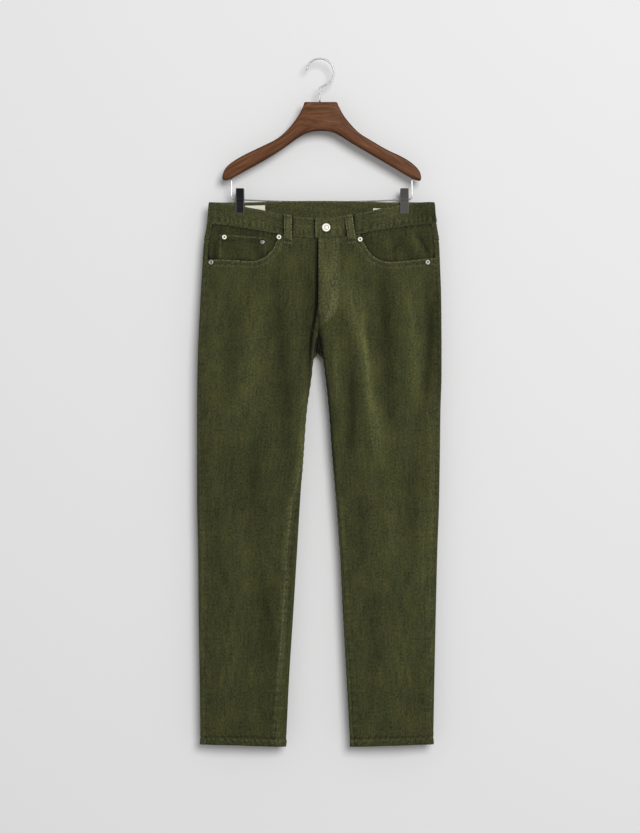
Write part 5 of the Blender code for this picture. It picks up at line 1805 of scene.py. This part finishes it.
arc = np.radians(np.linspace(-58, 170, 110))
curl = in_plane(HOOK_RADIUS * np.cos(arc), HOOK_WIRE - HOOK_RADIUS + HOOK_RADIUS * np.sin(arc))
stem = in_plane(HOOK_X, np.linspace(-83.6 * MM, -58 * MM, 12))
joining = eased(stem[-1], in_plane(HOOK_X, -54 * MM), curl[0], np.linspace(0, 1, 12)[1:-1, None])
piece = wire_tube("hook_wire", np.vstack([stem, joining, curl]), HOOK_WIRE, chrome)
fit(piece, "hanger_hook")

BAR_ENDS = (-173.5 * MM, 180.3 * MM)
BAR_WIRE = 1.4 * MM
BAR_BEND = 7 * MM  # radius of its corners
BEND_TOP = -267.6 * MM


def bar_height(x):
    """The bar bows down between its corners by a parabola."""
    reach = (x - sum(BAR_ENDS) / 2) / ((BAR_ENDS[1] - BAR_ENDS[0]) / 2 - BAR_BEND)
    return -274.6 * MM - 4.9 * MM * (1 - reach * reach)


turn = np.radians(np.linspace(0, 75, 12))
corners = []
for x, top, inward in ((BAR_ENDS[0], -234.55 * MM, 1), (BAR_ENDS[1], -233.95 * MM, -1)):
    drop = in_plane(x, np.linspace(top, BEND_TOP, 10)[:-1])
    bend = in_plane(x + inward * BAR_BEND * (1 - np.cos(turn)), BEND_TOP - BAR_BEND * np.sin(turn))
    corners.append(np.vstack([drop, bend]))
x = np.linspace(BAR_ENDS[0] + BAR_BEND, BAR_ENDS[1] - BAR_BEND, 60)
path = np.vstack([corners[0], in_plane(x, bar_height(x)), corners[1][::-1]])
piece = wire_tube("bar_wire", path, BAR_WIRE, bar_steel)
fit(piece, "hanger_bar")


# Clips
# Two sprung clips on the bar, each a pair of pressed plates with rolled rims and cross ribs, and the
# coil between them that turns on the bar.

# A jaw's middle from the grip down to the lip: z, and y of the front and of the back jaw, mm
JAW_PATH = np.array(
    (
        (-254, -9, 9), (-270, -4.9, 4.9), (-276, -4.9, 4.9), (-280, -7, 3.4), (-290, -7.1, 1.2),
        (-302.6, -7.1, 1.2),
    )
)
JAW_WALL = 1.2 * MM
JAW_HALF = 7.8 * MM  # half its width
RIB_END = -302 * MM  # where the lowest rib ends


def plate_material(name, bright, dark, shine):
    """Lacquered sheet metal."""
    return metal_material(name, bright, dark, 0.45, 0.0, Specular_IOR_Level=shine)


# The two clips are alike; one plate is painted near black and the other grey, as painted reflections.
plate_dark = plate_material("black clip plate", (0.012, 0.012, 0.014), (0.005, 0.005, 0.006), 0.1)
plate_grey = plate_material("grey clip plate", (0.085, 0.083, 0.075), (0.06, 0.058, 0.052), 0.1)
# painted highlight along the clips' rims and lips
plate_rim = plate_material("bare clip rim", (0.15, 0.15, 0.135), (0.09, 0.09, 0.08), 0.2)
spring_steel = metal_material("spring steel", (0.5, 0.5, 0.5), (0.3, 0.3, 0.3), 0.3)


def jaw_shell(name, x, column, outwards, ribs, material):
    """A pressed plate: the jaw's path smoothed and swept across its width, the side rims turned towards
    the cloth, with ribs pressed across it. Its rims and its lip take a lighter colour, a painted
    highlight."""
    path = smooth_line(JAW_PATH[:, [0, column]] * MM, 70)
    z, y = path[:, :1], path[:, 1:]
    across = np.linspace(-1, 1, 25)[None, :]
    ribbed = 1 - smooth_step(-262 * MM, -255.5 * MM, z)
    ribbed = ribbed * smooth_step(RIB_END + 0.5 * MM, RIB_END + 2.5 * MM, z)
    rib = ribs * MM * np.maximum(np.sin((z - RIB_END) / (0.62 * MM)), 0) ** 0.7 * ribbed
    rib = rib * (1 - smooth_step(0.7, 0.82, np.abs(across)))
    rim = 0.3 * MM * smooth_step(0.8, 0.97, np.abs(across))
    width = JAW_HALF * (1 - 0.04 * smooth_step(-275 * MM, -260 * MM, z))
    face = y + outwards * (JAW_WALL + rib + rim)
    outer = np.stack(np.broadcast_arrays(x + width * across, face, z), axis=-1)
    inner = np.stack(np.broadcast_arrays(x + width * across, y, z), axis=-1)
    piece = cloth_shell(name, outer, inner, across * JAW_HALF, z)
    bare = np.zeros((path.shape[0] - 1, across.shape[1] - 1), np.int32)
    bare[:, [0, -1]] = 1
    bare[-1] = 1
    rest = np.ones(len(piece.data.polygons) - 2 * bare.size, np.int32)
    piece.data.materials.append(material)
    piece.data.materials.append(plate_rim)
    piece.data.polygons.foreach_set("material_index", np.concatenate([bare.ravel(), bare.ravel(), rest]))
    return piece


COIL_RADIUS, COIL_HALF, COIL_WIRE = 3.6 * MM, 4.7 * MM, 0.72 * MM

for side, x, plate, ribs in (("right", CLIP_X[0], plate_dark, 0.35), ("left", CLIP_X[1], plate_grey, 0.15)):
    for face, column, outwards in (("front", 1, -1), ("back", 2, 1)):
        piece = jaw_shell(f"jaw_{side}_{face}", x, column, outwards, ribs, plate)
        fit(piece, f"clip_{side}_{face}")
    turns = np.linspace(0, 6 * 2 * math.pi, 160)
    coil_x = x + np.linspace(-COIL_HALF, COIL_HALF, len(turns))
    coil_z = bar_height(coil_x) + COIL_RADIUS * np.cos(turns)
    coil = np.stack([coil_x, COIL_RADIUS * np.sin(turns), coil_z], axis=1)
    piece = wire_tube(f"spring_{side}", coil, COIL_WIRE, spring_steel, 8)
    fit(piece, f"clip_{side}_spring")


# Zip teeth and slider
# Pressed brass: the closed teeth as one ribbed strip, and the slider at the top of it.

brass, tree, shader = new_material("dull brass", 0.4, 1.0)
ribs = tree.nodes.new("ShaderNodeTexWave")
ribs.bands_direction = "Z"
feed(tree, ribs.inputs["Scale"], 95)
feed(tree, ribs.inputs["Vector"], object_place(tree))
ribs = ribs.outputs["Fac"]
feed(tree, shader.inputs["Base Color"], blend_colours(tree, ribs, (0.12, 0.08, 0.035), (0.42, 0.3, 0.15)))
bump(tree, shader, ribs, 0.6 * MM)
for node in ("zip_teeth", "zip_slider"):
    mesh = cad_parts[node].data
    mesh.materials.clear()
    mesh.materials.append(brass)
